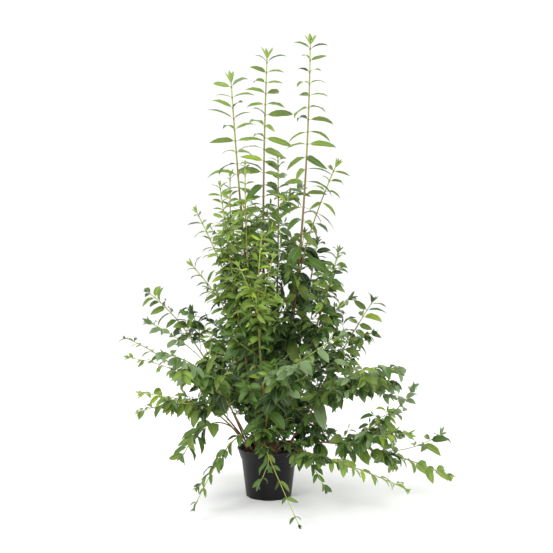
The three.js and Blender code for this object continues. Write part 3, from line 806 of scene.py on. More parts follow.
CANES = (
    tall_cane(
        "tall_left", Region.TALL, Tone.DEEP,
        (0.015, 200), (-0.083, -0.015, 0.860), (-0.138, -0.030, 1.560),
        thick=0.0065, twig_zone=(0.1, 0.58), basal=3,
    ),
    tall_cane(
        "tall_middle", Region.TALL, Tone.DEEP,
        (0.015, 80), (-0.020, 0.020, 0.905), (-0.006, 0.030, 1.655),
        thick=0.007, twig_zone=(0.1, 0.58), basal=2,
    ),
    tall_cane(
        "tall_right", Region.TALL, Tone.DEEP,
        (0.014, 325), (0.113, 0.010, 0.880), (0.155, 0.010, 1.705),
        forks=((0.252, 0.060, 1.250),), thick=0.007, droop=1.15, twigs=1, twig_zone=(0.1, 0.5), basal=3,
    ),
    riser(
        "right_riser", Region.UPPER, Tone.DEEP,
        (0.064, 36), (0.125, 0.060, 0.610), (0.185, 0.090, 0.960),
        bare=0.1, leaf=0.080, droop=0.7, twigs=1, twig=0.12, twig_zone=(0.08, 0.8), basal=1,
    ),
    riser(
        "centre_riser", Region.UPPER, Tone.FRESH,
        (0.034, 98), (0.030, 0.050, 0.745), (0.035, 0.070, 1.285),
        bare=0.1, droop=0.65, twig=0.15, twig_zone=(0.1, 0.85), basal=1,
    ),
    young_riser(
        "left_riser", Region.UPPER, Tone.YOUNG,
        (0.034, 235), (-0.070, -0.080, 0.760), (-0.085, -0.110, 1.260),
        bare=0.08, leaf=0.056, twigs=3, twig_zone=(0.1, 0.85), basal=3,
    ),
    young_riser(
        "left_fan", Region.UPPER, Tone.YOUNG,
        (0.034, 182), (-0.115, -0.045, 0.720), (-0.180, -0.050, 1.180),
        forks=((-0.270, 0.020, 1.080), (-0.145, 0.020, 1.215), (-0.285, -0.010, 0.880)), bare=0.09,
        leaf=0.066, spacing=0.9, twigs=3, twig=0.13, twig_zone=(0.1, 0.8),
    ),
    young_riser(
        "front_shoots", Region.UPPER, Tone.YOUNG,
        (0.034, 272), (-0.035, -0.120, 0.650), (-0.025, -0.160, 0.995),
        forks=((0.015, -0.170, 0.920), (-0.105, -0.180, 0.890)), bare=0.08, leaf=0.060,
        twig_zone=(0.08, 0.75), basal=6,
    ),
    riser(
        "right_upper", Region.UPPER, Tone.DEEP,
        (0.034, 327), (0.175, -0.030, 0.640), (0.260, -0.040, 0.935),
        forks=((0.295, -0.070, 0.760),), bare=0.1, leaf=0.076, slim=(0.48, 0.4), droop=0.7, twig=0.11,
        twig_zone=(0.08, 0.8), basal=4,
    ),
    back_riser(
        "back_left_riser", Region.BACK, Tone.FRESH,
        (0.034, 138), (-0.075, 0.130, 0.620), (-0.150, 0.250, 1.040),
    ),
    back_riser(
        "back_right_riser", Region.BACK, Tone.FRESH,
        (0.034, 60), (0.075, 0.140, 0.590), (0.140, 0.290, 0.985),
    ),
    CaneSpec(
        "left_high", Region.LEFT, Tone.FRESH,
        (0.076, 172), (-0.262, 0.040, 0.548), (-0.462, 0.060, 0.775),
        forks=((-0.440, -0.060, 0.672), (-0.290, 0.040, 0.695)), fork_places=(0.2, 0.04), leaf=0.070,
        droop=0.75, twig=0.11, twig_zone=(0.03, 0.6),
    ),
    CaneSpec(
        "left_far", Region.LEFT, Tone.DEEP,
        (0.076, 152), (-0.315, 0.130, 0.430), (-0.570, 0.220, 0.575),
        forks=((-0.542, 0.120, 0.512),), leaf=0.052, slim=(0.44, 0.32), spacing=0.95, droop=0.6, twigs=0,
    ),
    CaneSpec(
        "left_spray", Region.LEFT, Tone.DUSTY,
        (0.076, 222), (-0.205, -0.185, 0.470), (-0.365, -0.300, 0.590),
        bare=0.19, leaf=0.086, slim=(0.48, 0.42), droop=0.9, twigs=3, twig=0.12, twig_zone=(0.2, 0.7),
    ),
    CaneSpec(
        "left_low", Region.LEFT, Tone.YOUNG,
        (0.076, 192), (-0.245, -0.060, 0.352), (-0.482, -0.080, 0.338),
        forks=((-0.492, 0.120, 0.370),), bare=0.18, droop=0.95, twigs=2, twig=0.12, twig_zone=(0.03, 0.5),
    ),
    thin_arm(
        "left_arch", Region.LEFT, Tone.FRESH,
        (0.062, 208), (-0.190, -0.110, 0.305), (-0.312, -0.210, 0.203),
        bare=0.52, leaf=0.084, slim=(0.46, 0.42), spacing=0.72, droop=0.45, twigs=0,
    ),
    thin_arm(
        "left_trail", Region.LEFT, Tone.FRESH,
        (0.066, 240), (-0.115, -0.180, 0.265), (-0.262, -0.360, 0.052),
        forks=((-0.250, -0.275, 0.105),), bare=0.4, leaf=0.050, slim=(0.46, 0.32), lean=0.85, droop=0.5,
        twigs=0,
    ),
    CaneSpec(
        "right_high", Region.RIGHT, Tone.DEEP,
        (0.076, 18), (0.240, 0.060, 0.475), (0.400, 0.090, 0.735),
        bare=0.18, leaf=0.080, slim=(0.48, 0.4), droop=0.8, twig=0.14, twig_zone=(0.12, 0.7), basal=1,
    ),
    CaneSpec(
        "right_mid", Region.RIGHT, Tone.DUSTY,
        (0.066, 330), (0.268, -0.122, 0.462), (0.470, -0.188, 0.512),
        forks=((0.440, -0.160, 0.418),), fork_places=(0.22,), leaf=0.096, slim=(0.48, 0.4), droop=0.7,
        twig=0.15, twig_zone=(0.15, 0.75), basal=2,
    ),
    thin_arm(
        "right_arm", Region.RIGHT, Tone.FRESH,
        (0.037, 352), (0.332, -0.106, 0.260), (0.530, -0.138, 0.432),
        forks=((0.510, -0.120, 0.262),), fork_places=(0.36,), bare=0.18, leaf=0.090, slim=(0.48, 0.4),
        droop=0.8, twigs=2, twig=0.12, twig_zone=(0.1, 0.7), basal=2,
    ),
    thin_arm(
        "right_far", Region.RIGHT, Tone.FRESH,
        (0.036, 16), (0.365, -0.035, 0.190), (0.676, -0.050, 0.088),
        forks=((0.672, 0.130, 0.205),), fork_places=(0.43,), leaf=0.082, spacing=1.1, lean=0.6, droop=0.65,
        twigs=2, twig=0.11, twig_zone=(0.1, 0.6), basal=2,
    ),
    thin_arm(
        "right_trail", Region.RIGHT, Tone.FRESH,
        (0.037, 300), (0.255, -0.260, 0.192), (0.491, -0.330, 0.112),
        forks=((0.205, -0.240, 0.090),), fork_places=(0.02,), bare=0.13, leaf=0.056, slim=(0.48, 0.36),
        lean=0.6, droop=0.8, twigs=1, twig=0.07, twig_zone=(0.15, 0.45), basal=1,
    ),
    thin_arm(
        "front_trail", Region.FRONT, Tone.FRESH,
        (0.062, 278), (0.000, -0.240, 0.212), (0.105, -0.520, 0.040),
        forks=((-0.035, -0.230, 0.100),), bare=0.25, leaf=0.050, slim=(0.46, 0.34), spacing=1.5, lean=0.7,
        droop=0.5, twigs=0, basal=1,
    ),
    CaneSpec(
        "front_spray", Region.FRONT, Tone.DUSTY,
        (0.072, 258), (0.015, -0.230, 0.445), (0.100, -0.390, 0.560),
        forks=((0.252, -0.240, 0.645),), bare=0.19, leaf=0.080, spacing=0.82, droop=0.8, twigs=2, twig=0.13,
        twig_zone=(0.1, 0.7), basal=3,
    ),
    back_arm(
        "back_far_left", Region.BACK, Tone.DEEP,
        (0.076, 130), (-0.160, 0.260, 0.430), (-0.270, 0.500, 0.570),
    ),
    back_arm(
        "back_centre", Region.BACK, Tone.DEEP,
        (0.076, 104), (-0.040, 0.280, 0.430), (-0.090, 0.560, 0.520),
    ),
    back_arm(
        "back_right", Region.BACK, Tone.FRESH,
        (0.076, 48), (0.160, 0.260, 0.410), (0.270, 0.500, 0.555),
    ),
    thin_arm(
        "back_low", Region.BACK, Tone.DEEP,
        (0.062, 76), (0.060, 0.290, 0.275), (0.130, 0.560, 0.130),
        bare=0.2, leaf=0.070, droop=0.8, twigs=1, twig=0.13,
    ),
)

ARC_SAMPLES = 25

# Leaves stand a little past the middle of their stretch of stem, and closer towards its tip.
NODE_OFFSET = 0.6
NODE_CROWDING = 0.25

# The turn from one shoot or leaf to the next round a stem, and how many places are tried for each.
SPIRAL = 2.4
TRIES = 4

# The shares of a shoot, a leaf and a tuft's leaf that are tested for free space.
SHOOT_PROBES = np.linspace(0.3, 1.0, 6)
LEAF_PROBES = np.array([[0.4], [0.7], [1.0]])
TUFT_PROBES = np.array([[0.5], [1.0]])


@dataclass(frozen=True)
class Arc:
    """A bowed line from a start to an end, drawn towards a control point."""

    start: np.ndarray
    control: np.ndarray
    end: np.ndarray

    def points(self, shares: np.ndarray) -> np.ndarray:
        """The points at shares of the way along, one a row."""
        t = np.asarray(shares, dtype=float)[..., None]
        return (1 - t) ** 2 * self.start + 2 * t * (1 - t) * self.control + t**2 * self.end

    def headings(self, shares: np.ndarray) -> np.ndarray:
        """The directions at shares of the way along, one a row."""
        t = np.asarray(shares, dtype=float)[..., None]
        return unit((1 - t) * (self.control - self.start) + t * (self.end - self.control))

    def length(self) -> float:
        """The length along the line."""
        points = self.points(np.linspace(0.0, 1.0, ARC_SAMPLES))
        return float(np.linalg.norm(np.diff(points, axis=0), axis=1).sum())

    def is_steep(self, share: float = 0.8) -> bool:
        """True where the line stands more upright than a share of its length."""
        return abs(unit(self.end - self.start)[2]) > share


@dataclass(frozen=True)
class Shoot:
    """A stem that carries leaves: a cane's leafy part, a fork, a twig or a twiglet."""

    arc: Arc
    order: Order
    cane: CaneSpec
    tint: Tint
    leaf: float
    first: float
    foot_radius: float
    tip_radius: float
    taper: float = 1.0

    def run(self) -> float:
        """The length of the leafy part."""
        return self.arc.length() * (1.0 - self.first)

    def share(self, along: np.ndarray) -> np.ndarray:
        """Turns a share of the leafy part into a share of the whole arc."""
        return self.first + (1.0 - self.first) * np.asarray(along, dtype=float)

    def radius(self, along: np.ndarray) -> np.ndarray:
        """The stem's radius at a share of the leafy part."""
        return self.foot_radius + (self.tip_radius - self.foot_radius) * self.share(along) ** self.taper

    def nodes(self) -> np.ndarray:
        """The places at which pairs of leaves stand.

        Returns:
            Shares of the leafy part, from the foot to the tip.
        """
        step = self.order.value.step * self.cane.spacing
        count = max(2, round(self.run() / step))
        even = (np.arange(count) + NODE_OFFSET) / count
        return even + NODE_CROWDING * even * (1.0 - even)

    def stand(self, along: float) -> tuple[np.ndarray, np.ndarray, np.ndarray, np.ndarray]:
        """Where the shoot is and how it is turned at a share of its leafy part.

        Args:
            along: The share of the leafy part.

        Returns:
            The point, the heading, the side and the normal there.
        """
        point = self.arc.points(self.share(along))
        heading = self.arc.headings(self.share(along))
        guide = BACK if self.arc.is_steep() else UP
        side = unit(guide - guide.dot(heading) * heading)
        return point, heading, side, np.cross(side, heading)


class LeafSide(IntEnum):
    """The parts of a leaf that have a colour of their own."""

    FACE = 0
    UNDER = 1
    RIB = 2


class LeafShape(NamedTuple):
    """A leaf's length, width, bend along it, fold at the midrib, twist and the phase of its ripples."""

    length: float
    width: float
    bend: float
    fold: float
    twist: float
    phase: float


@dataclass
class LeafStore:
    """Leaves gathered as rows of numbers, then made into one mesh."""

    roots: list[np.ndarray] = field(default_factory=list)
    alongs: list[np.ndarray] = field(default_factory=list)
    faces: list[np.ndarray] = field(default_factory=list)
    shapes: list[LeafShape] = field(default_factory=list)
    tints: list[Tint] = field(default_factory=list)

    stations: tuple[float, ...] = (0.0, 0.09, 0.20, 0.35, 0.51, 0.68, 0.85, 1.0)
    columns: tuple[float, ...] = (-1.0, -0.5, -0.05, 0.05, 0.5, 1.0)
    stalk_share: float = 0.09
    outline_powers: Span = (0.62, 0.85)
    teeth_from: float = 0.3
    tooth: float = 0.045
    stalk_half_width: float = 0.0008
    tip_half_width: float = 0.0003
    tip_from: float = 0.5
    thickness: float = 0.0006
    rib_taper: float = 0.6
    bend_power: float = 1.3
    vein_column: float = 0.5
    vein_hollow: float = 0.15
    quilting: float = 0.05
    wave_rate: float = 14.0
    ripple: float = 0.09

    def add(
        self, root: np.ndarray, along: np.ndarray, face: np.ndarray, shape: LeafShape, tint: Tint
    ) -> None:
        """Adds one leaf.

        Args:
            root: The foot of its stalk.
            along: The direction from root to tip.
            face: The direction its upper face looks.
            shape: Its sizes.
            tint: Its tint.
        """
        self.roots.append(root)
        self.alongs.append(along)
        self.faces.append(face)
        self.shapes.append(shape)
        self.tints.append(tint)

    def by_turns(self, odd: float, even: float) -> np.ndarray:
        """One value at the odd stations and another at the even ones."""
        return np.where(np.arange(len(self.stations)) % 2, odd, even)

    def half_widths(self) -> np.ndarray:
        """The leaf's outline.

        Returns:
            Half the width at each station, as a share of half the full width.
        """
        stations = np.array(self.stations)
        rise, fall = self.outline_powers
        blade = np.clip((stations - self.stalk_share) / (1.0 - self.stalk_share), 0.0, 1.0)
        outline = blade**rise * (1.0 - blade) ** fall
        teeth = self.by_turns(1.0 + self.tooth, 1.0 - self.tooth)
        return outline / outline.max() * np.where(stations > self.teeth_from, teeth, 1.0)

    def spines(self, length: np.ndarray, bend: np.ndarray) -> tuple[np.ndarray, np.ndarray, np.ndarray]:
        """The bowed middle line of every leaf.

        Args:
            length: The leaves' lengths, one a row.
            bend: How far they bend from root to tip, one a row.

        Returns:
            The slope, the way forward and the rise at each station.
        """
        stations = np.array(self.stations)
        slope = bend * stations**self.bend_power
        middle = (slope[:, 1:] + slope[:, :-1]) / 2
        steps = np.diff(stations) * length
        nothing = np.zeros_like(length)
        forward = np.hstack([nothing, np.cumsum(np.cos(middle) * steps, axis=1)])
        upward = np.hstack([nothing, -np.cumsum(np.sin(middle) * steps, axis=1)])
        return slope, forward, upward

    def sections(
        self, width: np.ndarray, fold: np.ndarray, phase: np.ndarray
    ) -> tuple[np.ndarray, np.ndarray]:
        """The cross-sections of every leaf, before they are twisted and set along its spine.

        Args:
            width: The leaves' widths, one a row.
            fold: How far their halves fold up at the midrib, one a row.
            phase: The phase of their ripples, one a row.

        Returns:
            How far each point stands to the side and how far above, with the rib's point below as the last.
        """
        stations = np.array(self.stations)
        columns = np.array(self.columns)
        reach = np.abs(columns)
        least = np.where(stations < self.tip_from, self.stalk_half_width, self.tip_half_width)
        half = np.maximum(self.half_widths() * width / 2, least)[..., None]
        veins = self.by_turns(1.0, self.vein_hollow)[:, None] * (reach == self.vein_column)
        waves = np.sin(self.wave_rate * stations + phase)[..., None] * reach
        rise = np.sin(fold)[..., None] * reach + self.quilting * veins + self.ripple * waves
        spread = columns * half * np.cos(fold)[..., None]
        rib = -self.thickness * (1.0 - self.rib_taper * stations) * np.ones_like(width)
        spread = np.concatenate([spread, np.zeros_like(rib)[..., None]], axis=2)
        return spread, np.concatenate([rise * half, rib[..., None]], axis=2)

    def vertices(self) -> np.ndarray:
        """Every leaf's points, station by station: across its face, then the rib's point below.

        Returns:
            The points, by leaf and then by point.
        """
        length, width, bend, fold, twist, phase = (column[:, None] for column in np.array(self.shapes).T)
        slope, forward, upward = self.spines(length, bend)
        spread, rise = self.sections(width, fold, phase)
        turn = (twist * np.array(self.stations))[..., None]
        across = spread * np.cos(turn) - rise * np.sin(turn)
        lift = spread * np.sin(turn) + rise * np.cos(turn)
        ahead = forward[..., None] + lift * np.sin(slope)[..., None]
        above = upward[..., None] + lift * np.cos(slope)[..., None]
        along = np.array(self.alongs)
        face = np.array(self.faces)
        tilt = bend / 2
        start = along * np.cos(tilt) + face * np.sin(tilt)
        top = face * np.cos(tilt) - along * np.sin(tilt)
        points = np.array(self.roots)[:, None, None, :]
        for distance, axis in ((ahead, start), (across, np.cross(top, start)), (above, top)):
            points = points + distance[..., None] * axis[:, None, None, :]
        return points.reshape(len(self.roots), -1, 3)

    def polygons(self) -> tuple[list[tuple[int, ...]], list[LeafSide]]:
        """One leaf's faces.

        Returns:
            The corners of each face, and the side of the leaf that it belongs to.
        """
        width = len(self.columns) + 1
        last = len(self.columns) - 1
        rib_column = last // 2
        corners: list[tuple[int, ...]] = []
        sides: list[LeafSide] = []
        for row in range(len(self.stations) - 1):
            here, there = row * width, (row + 1) * width
            for column in range(last):
                corners.append((here + column, there + column, there + column + 1, here + column + 1))
                sides.append(LeafSide.RIB if column == rib_column else LeafSide.FACE)
            corners.append((here, here + width - 1, there + width - 1, there))
            corners.append((here + width - 1, here + last, there + last, there + width - 1))
            sides.extend((LeafSide.UNDER, LeafSide.UNDER))
        end = (len(self.stations) - 1) * width
        corners.append(tuple(range(width)))
        corners.append(tuple(end + width - 1 - index for index in range(width)))
        sides.extend((LeafSide.RIB, LeafSide.FACE))
        return corners, sides

    def build(self, name: str) -> Piece:
        """Makes the gathered leaves into one object.

        Args:
            name: The object's name.

        Returns:
            The object, with a material slot for each finish it uses.
        """
        corners, sides = self.polygons()
        finishes = [(tint.value.face, tint.value.under, tint.value.rib) for tint in self.tints]
        used = list(dict.fromkeys(finish for row in finishes for finish in row))
        places = {finish: index for index, finish in enumerate(used)}
        rows = np.array([[places[finish] for finish in row] for row in finishes])
        slots = rows[:, np.array(sides)].reshape(-1)
        return joined_mesh(name, self.vertices(), corners, slots, [finish.material() for finish in used])


def joined_mesh(
    name: str,
    points: np.ndarray,
    corners: list[tuple[int, ...]],
    slots: np.ndarray,
    materials: list[Material],
) -> Piece:
    """Makes many copies of one face layout into one object.

    Args:
        name: The object's name.
        points: The points of every copy, by copy and then by point.
        corners: The corners of one copy's faces.
        slots: The material slot of every face of every copy.
        materials: The slots' materials.

    Returns:
        The new object.
    """
    copies, each = points.shape[:2]
    flat = np.concatenate([np.array(face) for face in corners])
    sizes = np.array([len(face) for face in corners])
    loops = (flat[None, :] + each * np.arange(copies)[:, None]).reshape(-1)
    totals = np.tile(sizes, copies)
    return mesh_object(name, points.reshape(-1, 3), loops, totals, slots, materials)


def mesh_object(
    name: str,
    points: np.ndarray,
    loops: np.ndarray,
    totals: np.ndarray,
    slots: np.ndarray,
    materials: list[Material],
) -> Piece:
    """Makes an object from arrays of points and faces.

    Args:
        name: The object's name.
        points: The points, one a row.
        loops: The corners of all faces, end to end.
        totals: How many corners each face has.
        slots: The material slot of each face.
        materials: The slots' materials.

    Returns:
        The new object, shaded smooth with hard edges.
    """
    mesh = bpy.data.meshes.new(name)
    mesh.vertices.add(len(points))
    mesh.vertices.foreach_set("co", points.astype(np.float32).ravel())
    mesh.loops.add(len(loops))
    mesh.loops.foreach_set("vertex_index", loops.astype(np.int32))
    mesh.polygons.add(len(totals))
    starts = np.concatenate([[0], np.cumsum(totals)[:-1]])
    mesh.polygons.foreach_set("loop_start", starts.astype(np.int32))
    for material in materials:
        mesh.materials.append(material)
    mesh.polygons.foreach_set("material_index", slots.astype(np.int32))
    mesh.update(calc_edges=True)
    mesh.validate()
    piece = bpy.data.objects.new(name, mesh)
    bpy.context.scene.collection.objects.link(piece)
    smooth_by_angle(piece, LEAF_EDGE)
    return piece


@dataclass
class StemStore:
    """Stems gathered as rings of points, then made into one mesh."""

    points: list[np.ndarray] = field(default_factory=list)
    loops: list[int] = field(default_factory=list)
    totals: list[int] = field(default_factory=list)
    slots: list[int] = field(default_factory=list)
    count: int = 0
    guide_limit: float = 0.9

    def add(self, path: np.ndarray, radii: np.ndarray, sides: int, finishes: list[PlainFinish]) -> None:
        """Adds one stem as a tube with closed ends.

        Args:
            path: The centre of each ring.
            radii: The radius of each ring.
            sides: The number of sides.
            finishes: The finish of each stretch between two rings.
        """
        headings = unit(np.gradient(path, axis=0))
        guide = BACK if abs(headings[0].dot(BACK)) < self.guide_limit else UP
        side = unit(np.cross(headings[0], guide))
        turns = np.linspace(0.0, FULL_TURN, sides, endpoint=False)
        for centre, heading, radius in zip(path, headings, radii):
            side = unit(side - side.dot(heading) * heading)
            normal = np.cross(heading, side)
            ring = np.cos(turns)[:, None] * side + np.sin(turns)[:, None] * normal
            self.points.append(centre + radius * ring)
        for index, finish in enumerate(finishes):
            here = self.count + index * sides
            there = here + sides
            for step in range(sides):
                after = (step + 1) % sides
                self.face((here + step, here + after, there + after, there + step), finish)
        top = self.count + (len(path) - 1) * sides
        self.face(tuple(self.count + sides - 1 - step for step in range(sides)), finishes[0])
        self.face(tuple(top + step for step in range(sides)), finishes[-1])
        self.count += len(path) * sides

    def face(self, corners: tuple[int, ...], finish: PlainFinish) -> None:
        """Adds one face.

        Args:
            corners: Its corners.
            finish: Its finish.
        """
        self.loops.extend(corners)
        self.totals.append(len(corners))
        self.slots.append(STEM_FINISHES.index(finish))

    def build(self, name: str) -> Piece:
        """Makes the gathered stems into one object.

        Args:
            name: The object's name.

        Returns:
            The object, with a material slot for each of the stems' finishes.
        """
        materials = [finish.material() for finish in STEM_FINISHES]
        arrays = (np.array(self.loops), np.array(self.totals), np.array(self.slots))
        return mesh_object(name, np.concatenate(self.points), *arrays, materials)


@dataclass
class NurseryPot:
    """The black plastic pot: a tapered wall with a flared collar, a turned lip and notches under its foot."""

    height: float = 0.188
    base_radius: float = 0.086
    body_top_radius: float = 0.104
    collar_foot: float = 0.148
    collar_step: float = 0.0035
    rim_radius: float = 0.120
    lip_height: float = 0.005
    lip_reach: float = 0.002
    wall: float = 0.0024
    floor: float = 0.007
    chamfer: float = 0.0015
    ledge: float = 0.001
    notches: int = 8
    notch_size: Point = (0.010, 0.022, 0.010)
    segments: int = 128
    edge_round: float = 0.0006
    edge_steps: int = 2
    edge_from: float = 28.0
    hard_from: float = 35.0
    finish: PlasticFinish = PlasticFinish()

    def body_radius(self, height: float) -> float:
        """The outer radius of the wall below the collar."""
        return mix(self.base_radius, self.body_top_radius, height / self.collar_foot)

    def profile(self) -> list[Span]:
        """The pot's outline.

        Returns:
            Radius and height of each ring, up the outside and down the inside.
        """
        lip_foot = self.height - self.lip_height
        collar_radius = self.body_top_radius + self.collar_step
        collar_top = self.rim_radius - self.lip_reach
        return [
            (self.base_radius - self.chamfer, 0.0),
            (self.body_radius(self.chamfer), self.chamfer),
            (self.body_radius(self.collar_foot), self.collar_foot),
            (collar_radius, self.collar_foot + self.ledge),
            (collar_top, lip_foot),
            (self.rim_radius, lip_foot + self.ledge),
            (self.rim_radius, self.height),
            (collar_top - self.wall, self.height),
            (collar_radius - self.wall, self.collar_foot + self.ledge),
            (self.body_radius(self.collar_foot) - self.wall, self.collar_foot - self.ledge),
            (self.body_radius(self.floor) - self.wall, self.floor),
        ]

    def notch_cutter(self) -> Piece:
        """The blocks that cut the notches, as one object.

        Returns:
            The joined blocks.
        """
        blocks = []
        for index in range(self.notches):
            turn = (index + 0.5) * FULL_TURN / self.notches
            place = (self.base_radius * math.cos(turn), self.base_radius * math.sin(turn), 0.0)
            deselect_all()
            bpy.ops.mesh.primitive_cube_add(size=1.0, location=place, rotation=(0.0, 0.0, turn))
            block = bpy.context.object
            block.scale = self.notch_size
            bpy.ops.object.transform_apply(location=True, rotation=True, scale=True)
            blocks.append(block)
        return join_pieces(blocks)

    def build(self) -> Piece:
        """Turns the shell, cuts its notches and rounds its edges.

        Returns:
            The finished piece.
        """
        pot = turned_solid("pot_shell", self.profile(), self.segments)
        cutter = self.notch_cutter()
        cut = pot.modifiers.new("notches", "BOOLEAN")
        cut.operation = "DIFFERENCE"
        cut.object = cutter
        rounding = pot.modifiers.new("rounding", "BEVEL")
        rounding.width = self.edge_round
        rounding.segments = self.edge_steps
        rounding.limit_method = "ANGLE"
        rounding.angle_limit = math.radians(self.edge_from)
        apply_modifiers(pot)
        bpy.data.objects.remove(cutter)
        return dress(pot, self.finish.material(), self.hard_from)


# A crumb is a knobbly octahedron.
CRUMB_POINTS = np.array([(1, 0, 0), (-1, 0, 0), (0, 1, 0), (0, -1, 0), (0, 0, 1), (0, 0, -1)], dtype=float)
CRUMB_FACES = [(0, 2, 4), (2, 1, 4), (1, 3, 4), (3, 0, 4), (2, 0, 5), (1, 2, 5), (3, 1, 5), (0, 3, 5)]


@dataclass
class Compost:
    """The compost that fills the pot, uneven on top, with loose crumbs."""

    pot: NurseryPot
    top: float = 0.170
    gap: float = 0.003
    rings: int = 12
    segments: int = 96
    hair: float = 0.0001
    clods: tuple[Span, ...] = ((0.018, 0.004), (0.005, 0.0022))
    seed: int = 11
    crumbs: int = 620
    crumb_spread: float = 0.97
    crumb_radius: Span = (0.0012, 0.0042)
    crumb_sizes: tuple[Span, ...] = ((0.6, 1.4), (0.6, 1.2), (0.5, 0.9))
    crumb_knobs: Span = (0.75, 1.25)
    crumb_rise: float = 0.3
    crumb_colours: tuple[Colour, ...] = ((0.013, 0.008, 0.005), (0.036, 0.022, 0.013), (0.085, 0.053, 0.030))
    crumb_roughness: float = 0.95
    finish: CompostFinish = CompostFinish()

    def top_radius(self) -> float:
        """The radius of the surface, just inside the pot's wall."""
        return self.pot.body_top_radius + self.pot.collar_step - self.pot.wall - self.gap

    def bed(self) -> Piece:
        """The filling, with an uneven surface.

        Returns:
            The finished piece.
        """
        pot = self.pot
        wall = pot.wall + self.gap
        outer = self.top_radius()
        profile = [
            (pot.body_radius(pot.floor) - wall, pot.floor + self.gap),
            (pot.body_radius(pot.collar_foot) - wall, pot.collar_foot - self.gap),
            (outer, self.top),
        ]
        shares = [1.0 - (index + 1) / (self.rings + 1) for index in range(self.rings)]
        profile += [(outer * share, self.top) for share in shares]
        bed = turned_solid("compost_bed", profile, self.segments)
        surface = bed.vertex_groups.new(name="surface")
        upper = [vertex.index for vertex in bed.data.vertices if vertex.co.z > self.top - self.hair]
        surface.add(upper, 1.0, "REPLACE")
        roughen(bed, "clods", self.clods, direction="Z", vertex_group=surface.name)
        return dress(bed, self.finish.material(), ROUGH_EDGE)

    def crumb(self, stream: random.Random) -> np.ndarray:
        """The six points of one crumb that lies on the surface.

        Args:
            stream: The crumbs' random numbers.

        Returns:
            The points, one a row.
        """
        distance = self.top_radius() * self.crumb_spread * math.sqrt(stream.random())
        bearing = stream.uniform(0.0, FULL_TURN)
        radius = stream.uniform(*self.crumb_radius)
        size = radius * np.array([stream.uniform(*spread) for spread in self.crumb_sizes])
        knobs = np.array([stream.uniform(*self.crumb_knobs) for _ in CRUMB_POINTS])[:, None]
        turn = stream.uniform(0.0, FULL_TURN)
        cosine, sine = math.cos(turn), math.sin(turn)
        spin = np.array([[cosine, -sine, 0.0], [sine, cosine, 0.0], [0.0, 0.0, 1.0]])
        height = self.top + self.crumb_rise * radius
        place = np.array([distance * math.cos(bearing), distance * math.sin(bearing), height])
        return (CRUMB_POINTS * knobs * size) @ spin.T + place

    def loose_crumbs(self) -> Piece:
        """Small clods and chips lying on the surface, as one object.

        Returns:
            The finished piece.
        """
        stream = random.Random(self.seed)
        crumbs = np.array([self.crumb(stream) for _ in range(self.crumbs)])
        colours = [stream.randrange(len(self.crumb_colours)) for _ in crumbs]
        materials = [
            PlainFinish(f"compost_crumb_{index}", colour, self.crumb_roughness).material()
            for index, colour in enumerate(self.crumb_colours)
        ]
        slots = np.repeat(colours, len(CRUMB_FACES))
        return joined_mesh("compost_crumbs", crumbs, CRUMB_FACES, slots, materials)


@dataclass
class StemBase:
    """The short woody stool that the inner canes rise from."""

    foot: float = 0.1703
    height: float = 0.036
    top_radius: float = 0.042
    waist_radius: float = 0.045
    foot_radius: float = 0.050
    flare_power: int = 4
    narrowing: float = 1.6
    segments: int = 72
    rings: int = 14
    top_rings: int = 8
    knots: tuple[Span, ...] = ((0.022, 0.007), (0.006, 0.0022))
    knot_level: float = 0.55

    def profile(self) -> list[Span]:
        """The stool's outline.

        Returns:
            Radius and height of each ring, up the side and in towards the middle of the top.
        """
        top = self.foot + self.height
        rings = []
        for index in range(self.rings + 1):
            share = index / self.rings
            flare = (self.foot_radius - self.waist_radius) * (1.0 - share) ** self.flare_power
            radius = mix(self.waist_radius, self.top_radius, min(1.0, share * self.narrowing)) + flare
            rings.append((radius, self.foot + self.height * share))
        inward = [1.0 - step / (self.top_rings + 1) for step in range(1, self.top_rings + 1)]
        return rings + [(self.top_radius * share, top) for share in inward]

    def build(self, bark: Material) -> Piece:
        """Turns the stool and roughens it into knobbly wood.

        Args:
            bark: The bark's material.

        Returns:
            The finished piece.
        """
        stool = turned_solid("stem_base_bark", self.profile(), self.segments)
        roughen(stool, "knots", self.knots, mid_level=self.knot_level)
        return dress(stool, bark, ROUGH_EDGE)


